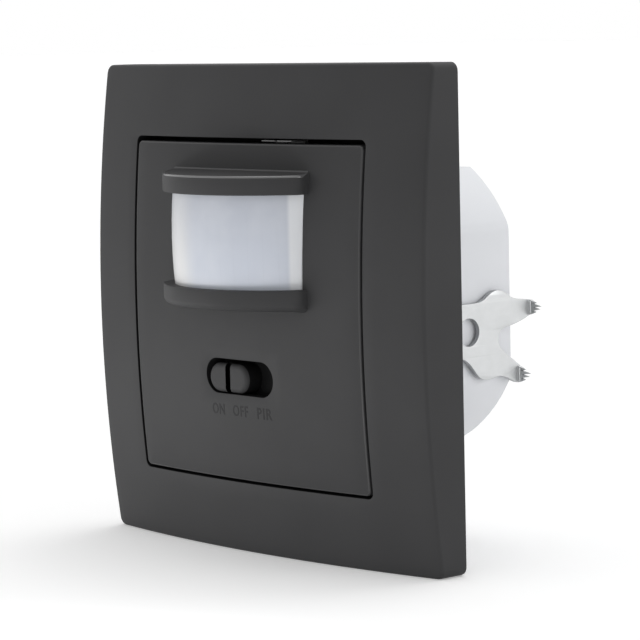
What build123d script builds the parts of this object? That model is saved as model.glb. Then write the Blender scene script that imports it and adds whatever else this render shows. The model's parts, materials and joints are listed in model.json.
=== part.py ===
from build123d import *
import math
import os

# Motion sensor light switch for a round 60 mm wall box, in millimetres.
# The wall is the plane y = 0, the front faces -Y, up is +Z, and the origin is midway between the box screws.

# Clearances that many pieces share
fit = 0.05
slide_gap = 0.1
hole_gap = 0.1
pin_hole_gap = 0.2
hole_spare = 0.5
overrun = 1.0
level_slope = 0.5

# Cover frame: square, with a front that is curved both ways
frame_size = 86.0
frame_corner = 1.5
corner_height = 5.5
rise_across = 3.75
rise_upright = 3.35
frame_wall = 1.8
front_round = 0.6
aperture_width = 60.4
aperture_height = 60.1
aperture_corner = 1.2
ring_wall = 1.5
ledge_thickness = 1.5
ledge_reach = 1.8
half_frame = frame_size / 2
front_apex = -(corner_height + rise_across + rise_upright)

# Box screws and the support plate that they hold
box_screw_spacing = 60.0
box_hole_radius = 2.1
box_screw_head_radius = 4.2
box_screw_head_height = 3.4
plate_thickness = 1.0
plate_edge = 1.4
plate_corner = 4.0
opening_edge = 0.7
opening_end_gap = 1.9
opening_corner = 3.0
plate_size = box_screw_spacing + 2 * (box_hole_radius + plate_edge)
ledge_back = -plate_thickness - slide_gap
ledge_front = ledge_back - ledge_thickness

# Centre cover
cover_side_gap = 0.55
cover_end_gap = 0.65
cover_corner = 1.0
cover_round = 0.3
cover_wall = 1.9
skirt_wall = 1.6
seat_back = -8.8
clip_width = 8.0
clip_thickness = 1.6
clip_height = 20.0
clip_reach = 1.4
clip_bump = 0.2
clip_bump_length = 0.7
clip_window_gap = 0.4
top_bump_lefts = (6.1, 9.9)
top_bump_width = 3.3
top_bump_height = 0.4
top_bump_front = -9.9
top_bump_length = 1.3
cover_width = aperture_width - 2 * cover_side_gap
cover_height = aperture_height - 2 * cover_end_gap
skirt_back = ledge_front - slide_gap
clip_outer = cover_width / 2 - skirt_wall
clip_inner = clip_outer - clip_thickness

# Hood brows and the lens between them
brow_radius = 22.3
brow_front = -21.5
brow_half_width = 18.1
brow_height = 3.3
brow_slope = 0.9
brow_root = -11.0
brow_end = 1.1
brow_wall = 1.55
upper_brow_corner = 0.6
lower_brow_corner = 2.2
window_bottom = 4.75
window_height = 16.25
lens_side_gap = 0.2
lens_thickness = 0.7
lens_overlap = 0.9
flange_edge = 1.4
flange_thickness = 0.8
flange_hole_margin = 0.3
window_top = window_bottom + window_height
window_mid = window_bottom + window_height / 2
front_limit = brow_front - overrun
hood_axis_y = brow_front + brow_radius
cavity_radius = brow_radius - brow_wall
lens_radius = cavity_radius - fit
lens_half_width = brow_half_width - brow_end
flange_half_width = lens_half_width + flange_edge
flange_front = seat_back + fit
flange_back = flange_front + flange_thickness

# Slide knob in its slot
slot_centre_z = -11.45
slide_travel = 6.0
knob_length = 10.4
knob_height = 5.2
knob_drop = 0.2
knob_recess = 0.4
knob_edge = 0.5
knob_groove_width = 1.3
knob_groove_depth = 1.2
slot_end_gap = 0.6
slot_side_gap = 0.5
slider_overlap = 3.3
slider_side_overlap = 1.0
slider_corner = 1.0
fork_reach = 3.8
prong_thickness = 1.2
prong_height = 3.6
slot_length = knob_length + slide_travel + 2 * slot_end_gap
slot_height = knob_height + 2 * slot_side_gap
knob_x = -slide_travel / 2
knob_z = slot_centre_z - knob_drop
slot_front = front_apex + rise_upright * (slot_centre_z / half_frame) ** 2
slider_half_length = knob_length / 2 + slider_overlap
slider_height = slot_height + 2 * slider_side_overlap

# Retainer behind the lens and the slider
retainer_thickness = 1.2
retainer_corner = 2.0
retainer_gap = 0.2
retainer_screw_edge = 2.2
retainer_screw_drop = 1.2
retainer_screw_radius = 1.0
retainer_screw_length = 3.0
retainer_head_radius = 1.8
retainer_head_height = 1.0
slider_screw_edge = 4.0
lens_seat_edge = 4.0
lens_seat_end = 2.7
slot_seat_edge = 2.5
slot_seat_end = 1.4
retainer_front = flange_back + fit
retainer_back = retainer_front + retainer_thickness
slider_front = seat_back + slide_gap
slider_back = retainer_front - fit
lens_seat_half_width = flange_half_width + lens_seat_edge
lens_seat_bottom = window_bottom - lens_overlap - flange_edge - lens_seat_end
lens_seat_top = window_top + lens_overlap + flange_edge + lens_seat_end
slider_screw_x = slider_half_length + slide_travel / 2 + slider_screw_edge
slot_seat_half_width = slider_screw_x + slot_seat_edge
slot_seat_bottom = knob_z - slider_height / 2 - slot_seat_end
slot_seat_top = knob_z + slider_height / 2 + slot_seat_end
retainer_half_width = lens_seat_half_width - retainer_gap
retainer_bottom = slot_seat_bottom + retainer_gap
retainer_top = lens_seat_top - retainer_gap
lens_screw_x = flange_half_width + retainer_screw_edge
lens_screw_z = window_top + retainer_screw_drop
retainer_screw_places = [(side * x, z) for side in (1, -1)
                         for x, z in ((lens_screw_x, lens_screw_z), (slider_screw_x, knob_z))]

# Slide switch on the sensor board
actuator_width = 2.0
actuator_height = 3.0
actuator_tip_gap = 0.3
actuator_foot_half_width = 2.2
actuator_foot_half_height = 2.2
actuator_foot_depth = 2.4
switch_end_room = 1.65
switch_side_room = 0.25
switch_height = 5.4
switch_shell_wall = 0.35
switch_base_thickness = 1.2
switch_pin_pitch = 3.0
switch_pin_radius = 0.4
switch_pin_length = 2.4
switch_pin_shares = (-1.5, -0.5, 0.5, 1.5)
prong_inner = actuator_width / 2 + slide_gap
switch_half_length = slide_travel / 2 + actuator_foot_half_width + switch_end_room + switch_shell_wall
switch_half_height = actuator_foot_half_height + switch_side_room + switch_shell_wall

# Housing
housing_radius = 28.5
housing_flat_cut = 3.35
housing_depth = 30.1
housing_wall = 1.8
rear_round = 0.25
flat_round = 4.0
step_cut = 4.85
boss_radius = 2.6
boss_inset = 1.2
plate_screw_angle = 43.4
plate_screw_radius = 1.25
plate_head_radius = 2.3
plate_head_height = 1.5
front_boss_room = 4.8
boss_floor = 3.0
rear_room = 13.3
cap_rim = 0.6
cap_rim_depth = 0.9
driver_hole_radius = 2.3
housing_flat = housing_radius - housing_flat_cut
inner_radius = housing_radius - housing_wall
inner_flat = housing_flat - housing_wall
rear_wall_front = housing_depth - housing_wall
plate_screw_x = (inner_radius - boss_inset) * math.cos(math.radians(plate_screw_angle))
plate_screw_z = (inner_radius - boss_inset) * math.sin(math.radians(plate_screw_angle))
main_board_front = housing_depth - rear_room
step_height = housing_radius - step_cut
front_boss_depth = main_board_front - front_boss_room
plate_screw_length = front_boss_depth - boss_floor

# Spreader claws, their screws and the pockets that they work in
claw_sheet = 1.0
claw_stand = 0.35
claw_top = 0.4
claw_width = 9.4
claw_roll_radius = 0.8
claw_pivot_y = 3.6
claw_screw_radius = 1.5
claw_screw_inset = 1.65
claw_screw_rise = 0.3
claw_tab_hole_radius = 1.95
claw_screw_head_radius = 2.75
claw_screw_head_height = 1.8
claw_tip_room = 1.0
claw_corner = 0.8
claw_bend_round = 1.2
claw_length = 30.9
claw_spread = 17.0
claw_window_radius = 2.5
claw_notch_radius = 2.75
tooth_count = 4
tooth_depth = 0.8
tip_reach = 2.3
driver_slot_width = 0.8
driver_slot_depth = 0.9
pocket_reach = 8.75
pocket_step_reach = 5.65
pocket_margin = 1.0
pocket_wall = 1.2
pocket_floor_room = 1.6
pivot_inset = 1.2
pivot_lip_gap = 0.2
pivot_lip_reach = 1.8
claw_window_shares = (0.492, 0.582)
claw_notch_shares = (0.819, 0.453)
upper_tip_shares = (0.672, 0.853)
lower_tip_shares = (0.0, 0.194)
lower_arm_share = 0.903
strap_top_share = 0.547
strap_bottom_share = 0.430
claw_outline_shares = (
    (0.650, 0.947), (0.728, 1.0), (0.812, 0.965), (0.845, 0.900),
    (1.0, 0.853), (1.0, 0.672), (0.835, 0.618), (0.825, 0.288), (0.903, 0.194), (0.903, 0.0),
    (0.816, 0.053), (0.715, 0.094), (0.631, 0.071), (0.579, 0.106), (0.508, 0.241),
)
claw_top_share = 0.882
claw_inner = housing_flat + claw_stand
claw_outer = claw_inner + claw_sheet
claw_bottom = claw_top - claw_width
claw_lowest = claw_top - claw_top_share * claw_spread
claw_tab_front = claw_pivot_y - claw_sheet / 2
claw_screw_x = housing_flat - claw_screw_inset
claw_screw_z = claw_bottom + claw_width / 2 - claw_screw_rise / 2
pocket_inner = housing_flat - pocket_reach
pocket_step = housing_flat - pocket_step_reach
pocket_bottom = claw_bottom - pocket_margin
pocket_top = claw_top + pocket_margin
pocket_depth = main_board_front - pocket_wall - pocket_floor_room
claw_screw_tip = pocket_depth - claw_tip_room
claw_pivot_x = pocket_inner + pivot_inset
pivot_floor = claw_pivot_y + claw_roll_radius + slide_gap
pivot_lip_depth = claw_pivot_y - claw_roll_radius - pivot_lip_gap

# Sensor board
board_thickness = 1.6
board_wall_gap = 0.3
sensor_board_front = 3.0
sensor_board_side_gap = 0.4
sensor_screw_inset = 2.7
ledge_half_width = 6.0
sensor_ledge_height = 4.3
sensor_ledge_room = 4.8
small_screw_radius = 1.0
small_head_radius = 1.9
small_head_height = 1.15
small_screw_length = 6.0
ledge_floor = 1.4
board_radius = inner_radius - board_wall_gap
board_room = main_board_front - sensor_board_front - board_thickness
sensor_board_half_width = pocket_inner - pocket_wall - sensor_board_side_gap
sensor_screw_height = inner_radius - sensor_screw_inset
ledge_inner_height = inner_radius - sensor_ledge_height
sensor_ledge_depth = board_room - sensor_ledge_room
sensor_screw_length = sensor_ledge_depth - ledge_floor
opening_half_width = sensor_board_half_width + opening_edge
opening_half_height = board_radius - opening_end_gap
switch_front = sensor_board_front - switch_height

# Pyroelectric sensor at the centre line of the lens
pyro_base_radius = 4.6
pyro_base_thickness = 1.0
pyro_can_radius = 4.15
pyro_can_length = 3.5
pyro_can_wall = 0.35
pyro_opening_width = 4.6
pyro_opening_height = 3.6
pyro_filter_margin = 0.5
pyro_filter_thickness = 0.5
pyro_pin_radius = 0.25
pyro_pin_circle = 2.54
pyro_pin_length = 2.4
pyro_pin_angles = (45, 135, 270)

# Other parts on the front of the sensor board, with their places as shares of the board's radius
light_sensor_radius = 2.5
light_sensor_length = 2.0
light_sensor_shares = (0.36, 0.32)
chip_length = 9.9
chip_width = 3.9
chip_height = 1.6
chip_legs = 7
chip_leg_pitch = 1.27
chip_leg_width = 0.45
chip_leg_reach = 1.0
chip_leg_thickness = 0.5
chip_shares = (-0.31, -0.04)
trimmer_size = 6.6
trimmer_height = 3.4
trimmer_shares = (0.303, -0.75)
rotor_radius = 2.3
rotor_gap = 0.1
rotor_depth = 1.9
rotor_stand = 0.7
rotor_slot_width = 0.7
rotor_slot_depth = 0.8

# Link between the two boards
link_pins = 6
link_pitch = 2.54
link_pin_radius = 0.32
link_body_height = 2.5
link_body_width = 2.5
link_share = 0.742
link_height = link_share * board_radius

# Main board and what stands on its front, with the places as shares of the board's radius
relay_length = 20.0
relay_width = 10.0
relay_head_room = 1.7
relay_share = 0.417
film_capacitor_length = 13.0
film_capacitor_width = 6.0
film_capacitor_head_room = 1.4
film_capacitor_shares = (-0.265, -0.019)
electrolytic_radius = 4.0
electrolytic_head_room = 1.2
electrolytic_groove = 0.4
electrolytic_shares = (0.284, -0.019)
varistor_head_room = 3.2
varistor_thickness = 3.2
varistor_shares = (0.303, -0.341)
fuse_radius = 2.8
fuse_head_room = 3.7
fuse_shares = (-0.341, -0.36)
axial_shares = (-0.364, -0.121, 0.121, 0.364)
diode_radius = 1.3
diode_length = 4.6
diode_share = -0.583
resistor_radius = 1.15
resistor_length = 4.8
resistor_share = -0.742
lead_radius = 0.3
component_edge = 0.5
rear_boss_inset = 4.6
rear_boss_shares = (0.30, -0.52)
main_board_back = main_board_front + board_thickness
step_front = main_board_back + board_wall_gap + housing_wall
rear_boss_places = [(side * (inner_flat - rear_boss_inset), share * inner_radius)
                    for side in (1, -1) for share in rear_boss_shares]

# Terminal block at the back
terminal_pitch = 7.0
terminal_count = 3
terminal_centre_x = -2.5
terminal_side_wall = 1.6
terminal_wall_gap = 0.27
terminal_height = 12.4
terminal_back_gap = 0.2
wire_hole_radius = 1.8
wire_hole_depth = 3.2
wire_rise = 8.0
cell_half_width = 3.0
cell_half_height = 3.2
cell_front_room = 2.1
cage_wall = 1.1
cage_gap = 0.2
tail_half_width = 0.4
terminal_screw_radius = 1.25
terminal_head_radius = 1.9
terminal_head_height = 1.7
terminal_screw_recess = 0.3
terminal_screw_length = 4.1
window_gap = 0.3
terminal_front = main_board_back + fit
terminal_back = housing_depth - terminal_back_gap
terminal_xs = [terminal_centre_x + terminal_pitch * (i - (terminal_count - 1) / 2)
               for i in range(terminal_count)]
terminal_left = terminal_xs[0] - cell_half_width - terminal_side_wall
terminal_right = terminal_xs[-1] + cell_half_width + terminal_side_wall
terminal_bottom = terminal_wall_gap - math.sqrt(inner_radius ** 2 - terminal_left ** 2)
terminal_top = terminal_bottom + terminal_height
wire_z = terminal_bottom + wire_rise
cell_back = terminal_back - wire_hole_depth
cage_front = terminal_front + cell_front_room
cage_back = cell_back - cage_gap
screw_y = (cage_front + cage_back) / 2


# Shapes that several pieces use
def block(x0, x1, y0, y1, z0, z1):
    middle = Pos((x0 + x1) / 2, (y0 + y1) / 2, (z0 + z1) / 2)
    return middle * Box(x1 - x0, y1 - y0, z1 - z0)


def rod_x(radius, x0, x1, y, z):
    return Pos((x0 + x1) / 2, y, z) * Rot(0, 90, 0) * Cylinder(radius, x1 - x0)


def rod_y(radius, y0, y1, x=0, z=0):
    return Pos(x, (y0 + y1) / 2, z) * Rot(90, 0, 0) * Cylinder(radius, y1 - y0)


def rod_z(radius, z0, z1, x, y):
    return Pos(x, y, (z0 + z1) / 2) * Cylinder(radius, z1 - z0)


def slab(width, height, corner, y0, y1, x=0, z=0):
    face = Plane(origin=(x, y0, z), x_dir=(1, 0, 0), z_dir=(0, 1, 0)) * RectangleRounded(width, height, corner)
    return extrude(face, y1 - y0)


def stadium(length, height, y0, y1, x, z):
    face = Plane(origin=(x, y0, z), x_dir=(1, 0, 0), z_dir=(0, 1, 0)) * SlotOverall(length, height)
    return extrude(face, y1 - y0)


def headed_screw(radius, length, head_radius, head_height, y, x, z, direction):
    # The head's flat underside is at y, and the shank runs from it along direction (+1 is +Y)
    shank = rod_y(radius, min(y, y + direction * length), max(y, y + direction * length), x, z)
    head_end = y - direction * head_height
    head = rod_y(head_radius, min(y, head_end), max(y, head_end), x, z)
    slot_end = head_end + direction * head_height / 2
    slot = block(x - head_radius, x + head_radius, min(head_end, slot_end), max(head_end, slot_end),
                 z - driver_slot_width / 2, z + driver_slot_width / 2)
    return shank + head - slot


def save(name, *solids):
    shape = solids[0] if len(solids) == 1 else Compound(children=list(solids))
    shape.label = name
    export_step(shape, f"parts/{name}.step")


# The space behind the double-curved front, which the frame and the centre cover share
def behind_front(shift):
    radius_across = (half_frame ** 2 + rise_across ** 2) / (2 * rise_across)
    radius_upright = (half_frame ** 2 + rise_upright ** 2) / (2 * rise_upright)
    apex = front_apex + shift
    reach = half_frame + overrun
    disc = Pos(0, apex + radius_across) * Circle(radius_across)
    strip = Pos(0, apex / 2) * Rectangle(2 * reach, -apex + 2 * overrun)
    turn = math.degrees(math.asin((half_frame + overrun) / radius_upright))
    axis = Axis((0, apex + radius_upright, 0), (1, 0, 0))
    profile = (disc & strip).rotate(axis, -turn)
    return revolve(profile, axis, 2 * turn)


def level_front_edges(body):
    # The edges between the curved front and the sides, without the upright corner edges
    return [edge for edge in body.edges()
            if edge.center().Y < -corner_height + front_round
            and abs(edge.tangent_at(edge.length / 2).Y) < level_slope]


def build_cover_frame():
    outline = slab(frame_size, frame_size, frame_corner, front_apex - overrun, 0)
    body = behind_front(0) & outline
    body = fillet(level_front_edges(body), front_round)
    inside = frame_size - 2 * frame_wall
    hollow = slab(inside, inside, frame_corner, front_apex - overrun, overrun)
    ring = slab(aperture_width + 2 * ring_wall, aperture_height + 2 * ring_wall, aperture_corner + ring_wall,
                front_apex - overrun, ledge_back)
    body -= behind_front(frame_wall) & (hollow - ring)
    body -= slab(aperture_width, aperture_height, aperture_corner, front_apex - overrun, ledge_front)
    body -= slab(aperture_width - 2 * ledge_reach, aperture_height - 2 * ledge_reach, aperture_corner,
                 ledge_front - overrun, overrun)
    for side in (-1, 1):
        body -= rod_y(box_screw_head_radius, -plate_thickness - box_screw_head_height, overrun,
                      side * box_screw_spacing / 2)
    return body


def build_support_plate():
    body = slab(plate_size, plate_size, plate_corner, -plate_thickness, 0)
    body -= slab(2 * opening_half_width, 2 * opening_half_height, opening_corner,
                 -plate_thickness - overrun, overrun)
    for side in (-1, 1):
        body -= rod_y(box_hole_radius, -plate_thickness - overrun, overrun, side * box_screw_spacing / 2)
        body -= rod_y(claw_screw_radius + hole_gap, -plate_thickness - overrun, overrun,
                      side * claw_screw_x, claw_screw_z)
        for level in (-1, 1):
            body -= rod_y(plate_screw_radius + hole_gap, -plate_thickness - overrun, overrun,
                          side * plate_screw_x, level * plate_screw_z)
            near = clip_inner - clip_window_gap
            far = clip_outer + clip_bump + clip_window_gap
            body -= block(min(side * near, side * far), max(side * near, side * far),
                          -plate_thickness - overrun, overrun,
                          level * clip_height - clip_width / 2 - clip_window_gap,
                          level * clip_height + clip_width / 2 + clip_window_gap)
    return body


def build_plate_screws():
    return [headed_screw(plate_screw_radius, plate_screw_length, plate_head_radius, plate_head_height,
                         -plate_thickness, side * plate_screw_x, level * plate_screw_z, 1)
            for side in (-1, 1) for level in (-1, 1)]


# The brows stand one above and one below the lens, flat beside it and sloping on the far side
def build_brow(level, corner, extra):
    near = window_mid + level * (window_top - window_bottom) / 2
    far_front = near + level * brow_height
    far_root = far_front + level * brow_slope
    side_view = Plane.YZ * make_face(Polyline(
        (brow_front - overrun, near), (brow_front - overrun, far_front), (brow_front, far_front),
        (brow_root, far_root), (seat_back, far_root), (seat_back, near), close=True))
    body = extrude(side_view, brow_half_width, both=True)
    body &= rod_z(brow_radius, min(near, far_root) - overrun, max(near, far_root) + overrun, 0, hood_axis_y)
    ends = slab(2 * brow_half_width, abs(far_root - near) + extra, corner, front_limit, seat_back,
                0, (near + far_root) / 2 - level * extra / 2)
    return body & ends


def build_centre_cover():
    body = behind_front(0) & slab(cover_width, cover_height, cover_corner, front_apex - overrun, skirt_back)
    body = fillet(level_front_edges(body), cover_round)
    body -= behind_front(cover_wall) & slab(cover_width - 2 * skirt_wall, cover_height - 2 * skirt_wall,
                                            cover_corner, front_apex - overrun, overrun)
    seats = block(-lens_seat_half_width, lens_seat_half_width, front_apex, seat_back,
                  lens_seat_bottom, lens_seat_top)
    seats += block(-slot_seat_half_width, slot_seat_half_width, front_apex, seat_back,
                   slot_seat_bottom, slot_seat_top)
    body += behind_front(cover_wall / 2) & seats
    body += build_brow(1, upper_brow_corner, 0)
    body += build_brow(-1, lower_brow_corner, lower_brow_corner)
    side = lens_half_width + lens_side_gap
    cavity = block(-side, side, front_limit, seat_back + overrun,
                   window_bottom - lens_overlap - lens_side_gap, window_top + lens_overlap + lens_side_gap)
    body -= cavity & rod_z(cavity_radius, window_bottom - brow_height, window_top + brow_height, 0, hood_axis_y)
    body -= block(-side, side, front_limit, seat_back + overrun, window_bottom, window_top)
    body -= stadium(slot_length, slot_height, front_limit, seat_back + overrun, 0, slot_centre_z)
    for x, z in retainer_screw_places:
        body -= rod_y(retainer_screw_radius + fit, retainer_back - retainer_screw_length - hole_spare / 2,
                      seat_back + overrun, x, z)
    for left in top_bump_lefts:
        body += block(left, left + top_bump_width, top_bump_front, top_bump_front + top_bump_length,
                      cover_height / 2 - skirt_wall / 2, cover_height / 2 + top_bump_height)
    for side in (-1, 1):
        body -= rod_y(box_screw_head_radius, -plate_thickness - box_screw_head_height, overrun,
                      side * box_screw_spacing / 2)
        for level in (-1, 1):
            near = side * clip_inner
            far = side * (clip_outer + fit)
            bump = side * (clip_outer + clip_bump)
            z0 = level * clip_height - clip_width / 2
            z1 = level * clip_height + clip_width / 2
            root = front_apex + rise_across + rise_upright + cover_wall
            body += block(min(near, far), max(near, far), root, clip_reach, z0, z1)
            body += block(min(near, bump), max(near, bump), clip_reach - clip_bump_length, clip_reach, z0, z1)
    return body


def build_fresnel_lens():
    low = window_bottom - lens_overlap
    high = window_top + lens_overlap
    outer = rod_z(lens_radius, low, high, 0, hood_axis_y)
    outer &= block(-lens_half_width, lens_half_width, front_limit, flange_back, low, high)
    inner = rod_z(lens_radius - lens_thickness, low - overrun, high + overrun, 0, hood_axis_y)
    inner_side = lens_half_width - lens_thickness
    inner &= block(-inner_side, inner_side, front_limit, flange_back + overrun, low - overrun, high + overrun)
    flange_height = high - low + 2 * flange_edge
    flange = slab(2 * flange_half_width, flange_height, flange_edge, flange_front, flange_back, 0, window_mid)
    return outer + flange - inner


def build_lens_retainer():
    height = retainer_top - retainer_bottom
    body = slab(2 * retainer_half_width, height, retainer_corner, retainer_front, retainer_back,
                0, retainer_bottom + height / 2)
    side = lens_half_width - lens_thickness - flange_hole_margin
    body -= block(-side, side, retainer_front - overrun, retainer_back + overrun, window_bottom, window_top)
    reach = slide_travel / 2 + prong_inner + prong_thickness + flange_hole_margin
    half = prong_height / 2 + flange_hole_margin
    body -= block(-reach, reach, retainer_front - overrun, retainer_back + overrun,
                  knob_z - half, knob_z + half)
    for x, z in retainer_screw_places:
        body -= rod_y(retainer_screw_radius + hole_gap, retainer_front - overrun,
                      retainer_back + overrun, x, z)
    return body


def build_retainer_screws():
    return [headed_screw(retainer_screw_radius, retainer_screw_length, retainer_head_radius,
                         retainer_head_height, retainer_back, x, z, -1) for x, z in retainer_screw_places]


def build_slide_knob():
    front = slot_front + knob_recess
    cap = stadium(knob_length, knob_height, front, slider_front, knob_x, knob_z)
    cap = fillet(cap.edges().group_by(Axis.Y)[0], knob_edge)
    cap -= block(knob_x - knob_groove_width / 2, knob_x + knob_groove_width / 2, front - overrun,
                 front + knob_groove_depth, knob_z - knob_height, knob_z + knob_height)
    cap += slab(2 * slider_half_length, slider_height, slider_corner, slider_front, slider_back, knob_x, knob_z)
    for side in (-1, 1):
        near = knob_x + side * prong_inner
        far = near + side * prong_thickness
        cap += block(min(near, far), max(near, far), slider_back - fit, slider_back + fork_reach,
                     knob_z - prong_height / 2, knob_z + prong_height / 2)
    return cap


def build_switch_actuator():
    tip = retainer_back + actuator_tip_gap
    foot_front = switch_front + switch_shell_wall + slide_gap
    stem = block(knob_x - actuator_width / 2, knob_x + actuator_width / 2, tip, foot_front + fit,
                 knob_z - actuator_height / 2, knob_z + actuator_height / 2)
    foot = block(knob_x - actuator_foot_half_width, knob_x + actuator_foot_half_width, foot_front,
                 foot_front + actuator_foot_depth, knob_z - actuator_foot_half_height,
                 knob_z + actuator_foot_half_height)
    return stem + foot


def build_switch_shell():
    back = sensor_board_front - fit
    body = block(-switch_half_length, switch_half_length, switch_front, back,
                 knob_z - switch_half_height, knob_z + switch_half_height)
    inner_length = switch_half_length - switch_shell_wall
    inner_height = switch_half_height - switch_shell_wall
    body -= block(-inner_length, inner_length, switch_front + switch_shell_wall, back + overrun,
                  knob_z - inner_height, knob_z + inner_height)
    reach = slide_travel / 2 + actuator_width / 2 + slide_gap
    half = actuator_height / 2 + slide_gap
    return body - block(-reach, reach, switch_front - overrun, switch_front + switch_shell_wall + overrun,
                        knob_z - half, knob_z + half)


def switch_pin_places():
    return [(switch_pin_pitch * share, knob_z) for share in switch_pin_shares]


def build_switch_base():
    back = sensor_board_front - fit
    length = switch_half_length - switch_shell_wall - fit
    height = switch_half_height - switch_shell_wall - fit
    body = block(-length, length, back - switch_base_thickness, back, knob_z - height, knob_z + height)
    for x, z in switch_pin_places():
        body += rod_y(switch_pin_radius, back - fit, back + switch_pin_length, x, z)
    return body


def pyro_pin_places():
    return [(pyro_pin_circle * math.cos(math.radians(angle)),
             window_mid + pyro_pin_circle * math.sin(math.radians(angle))) for angle in pyro_pin_angles]


def build_pyro_base():
    back = sensor_board_front - fit
    body = rod_y(pyro_base_radius, back - pyro_base_thickness, back, 0, window_mid)
    for x, z in pyro_pin_places():
        body += rod_y(pyro_pin_radius, back - fit, back + pyro_pin_length, x, z)
    return body


def pyro_can_back():
    return sensor_board_front - pyro_base_thickness - 2 * fit


def build_pyro_can():
    back = pyro_can_back()
    front = back - pyro_can_length
    body = rod_y(pyro_can_radius, front, back, 0, window_mid)
    body -= rod_y(pyro_can_radius - pyro_can_wall, front + pyro_can_wall, back + overrun, 0, window_mid)
    return body - block(-pyro_opening_width / 2, pyro_opening_width / 2, front - overrun, back,
                        window_mid - pyro_opening_height / 2, window_mid + pyro_opening_height / 2)


def build_pyro_filter():
    front = pyro_can_back() - pyro_can_length + pyro_can_wall + fit
    half_width = pyro_opening_width / 2 + pyro_filter_margin
    half_height = pyro_opening_height / 2 + pyro_filter_margin
    return block(-half_width, half_width, front, front + pyro_filter_thickness,
                 window_mid - half_height, window_mid + half_height)


def on_board(shares):
    return shares[0] * board_radius, shares[1] * board_radius


def build_light_sensor():
    back = sensor_board_front - fit
    x, z = on_board(light_sensor_shares)
    return rod_y(light_sensor_radius, back - light_sensor_length, back, x, z)


def build_control_chip():
    back = sensor_board_front - fit
    chip_x, chip_z = on_board(chip_shares)
    body = block(chip_x - chip_length / 2, chip_x + chip_length / 2, back - chip_height, back,
                 chip_z - chip_width / 2, chip_z + chip_width / 2)
    reach = chip_width / 2 + chip_leg_reach
    for i in range(chip_legs):
        x = chip_x + chip_leg_pitch * (i - (chip_legs - 1) / 2)
        body += block(x - chip_leg_width / 2, x + chip_leg_width / 2, back - chip_leg_thickness, back,
                      chip_z - reach, chip_z + reach)
    return body


# The two adjusters: a body soldered to the board and a rotor that a screwdriver turns
def build_trimmer(side):
    back = sensor_board_front - fit
    front = back - trimmer_height
    half = trimmer_size / 2
    x, z = side * on_board(trimmer_shares)[0], on_board(trimmer_shares)[1]
    body = block(x - half, x + half, front, back, z - half, z + half)
    floor = front + rotor_depth - rotor_stand + rotor_gap
    return body - rod_y(rotor_radius + rotor_gap, front - overrun, floor, x, z)


def build_rotor(side):
    front = sensor_board_front - fit - trimmer_height - rotor_stand
    x, z = side * on_board(trimmer_shares)[0], on_board(trimmer_shares)[1]
    body = rod_y(rotor_radius, front, front + rotor_depth, x, z)
    return body - block(x - rotor_slot_width / 2, x + rotor_slot_width / 2, front - overrun,
                        front + rotor_slot_depth, z - rotor_radius, z + rotor_radius)


def link_pin_xs():
    return [link_pitch * (i - (link_pins - 1) / 2) for i in range(link_pins)]


def build_board_link():
    front = sensor_board_front + board_thickness + fit
    back = main_board_front - fit
    half_length = link_pins * link_pitch / 2
    half = link_body_width / 2
    low = link_height - half
    high = link_height + half
    body = block(-half_length, half_length, front, front + link_body_height, low, high)
    body += block(-half_length, half_length, back - link_body_height, back, low, high)
    for x in link_pin_xs():
        body += rod_y(link_pin_radius, sensor_board_front, main_board_back, x, link_height)
    return body


def build_sensor_board():
    back = sensor_board_front + board_thickness
    body = rod_y(board_radius, sensor_board_front, back)
    body &= block(-sensor_board_half_width, sensor_board_half_width, sensor_board_front, back,
                  -board_radius, board_radius)
    holes = [(x, z, switch_pin_radius) for x, z in switch_pin_places()]
    holes += [(x, z, pyro_pin_radius) for x, z in pyro_pin_places()]
    holes += [(x, link_height, link_pin_radius) for x in link_pin_xs()]
    holes += [(0, level * sensor_screw_height, small_screw_radius) for level in (-1, 1)]
    for x, z, radius in holes:
        body -= rod_y(radius + pin_hole_gap, sensor_board_front - overrun, back + overrun, x, z)
    return body


def build_sensor_board_screws():
    return [headed_screw(small_screw_radius, sensor_screw_length, small_head_radius, small_head_height,
                         sensor_board_front, 0, level * sensor_screw_height, 1) for level in (-1, 1)]


# The housing's form, drawn in by inset: round with a flat at each side and a flat step at the top of its rear
def housing_form(inset, y0, y1):
    radius = housing_radius - inset
    flat = housing_flat - inset
    body = rod_y(radius, y0, y1) & block(-flat, flat, y0, y1, -radius, radius)
    return body - block(-radius, radius, step_front - inset, y1 + overrun,
                        step_height - inset, radius + overrun)


# The housing is open at the back, where a cap closes it and carries the main board
def build_housing():
    outer = housing_form(0, 0, housing_depth)
    corners = [e for e in outer.edges().filter_by(Axis.Y) if abs(abs(e.center().X) - housing_flat) < fit]
    outer = fillet(corners, flat_round)
    outer = fillet(outer.edges().group_by(Axis.Y)[-1], rear_round)
    body = outer - housing_form(housing_wall, -overrun, housing_depth + overrun)
    for piece in housing_inside_parts():
        body += piece & outer
    for side in (-1, 1):
        step = side * pocket_step
        far = side * (housing_flat + overrun)
        near = side * pocket_inner
        body -= block(min(step, far), max(step, far), -overrun, pocket_depth, pocket_bottom, pocket_top)
        body -= block(min(near, far), max(near, far), -overrun, pivot_floor, pocket_bottom, pocket_top)
        lip = side * (pocket_inner + pivot_lip_reach)
        wall = side * (pocket_inner - fit)
        body += block(min(wall, lip), max(wall, lip), 0, pivot_lip_depth, pocket_bottom - fit, pocket_top + fit)
        for level in (-1, 1):
            body -= rod_y(plate_screw_radius + fit, -overrun, plate_screw_length - plate_thickness + hole_spare,
                          side * plate_screw_x, level * plate_screw_z)
    for level in (-1, 1):
        body -= rod_y(small_screw_radius + fit, sensor_board_front,
                      sensor_board_front + sensor_screw_length + hole_spare, 0, level * sensor_screw_height)
    for x in terminal_xs:
        body -= rod_z(driver_hole_radius, -housing_radius - overrun, terminal_bottom, x, screw_y)
    return body


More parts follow.
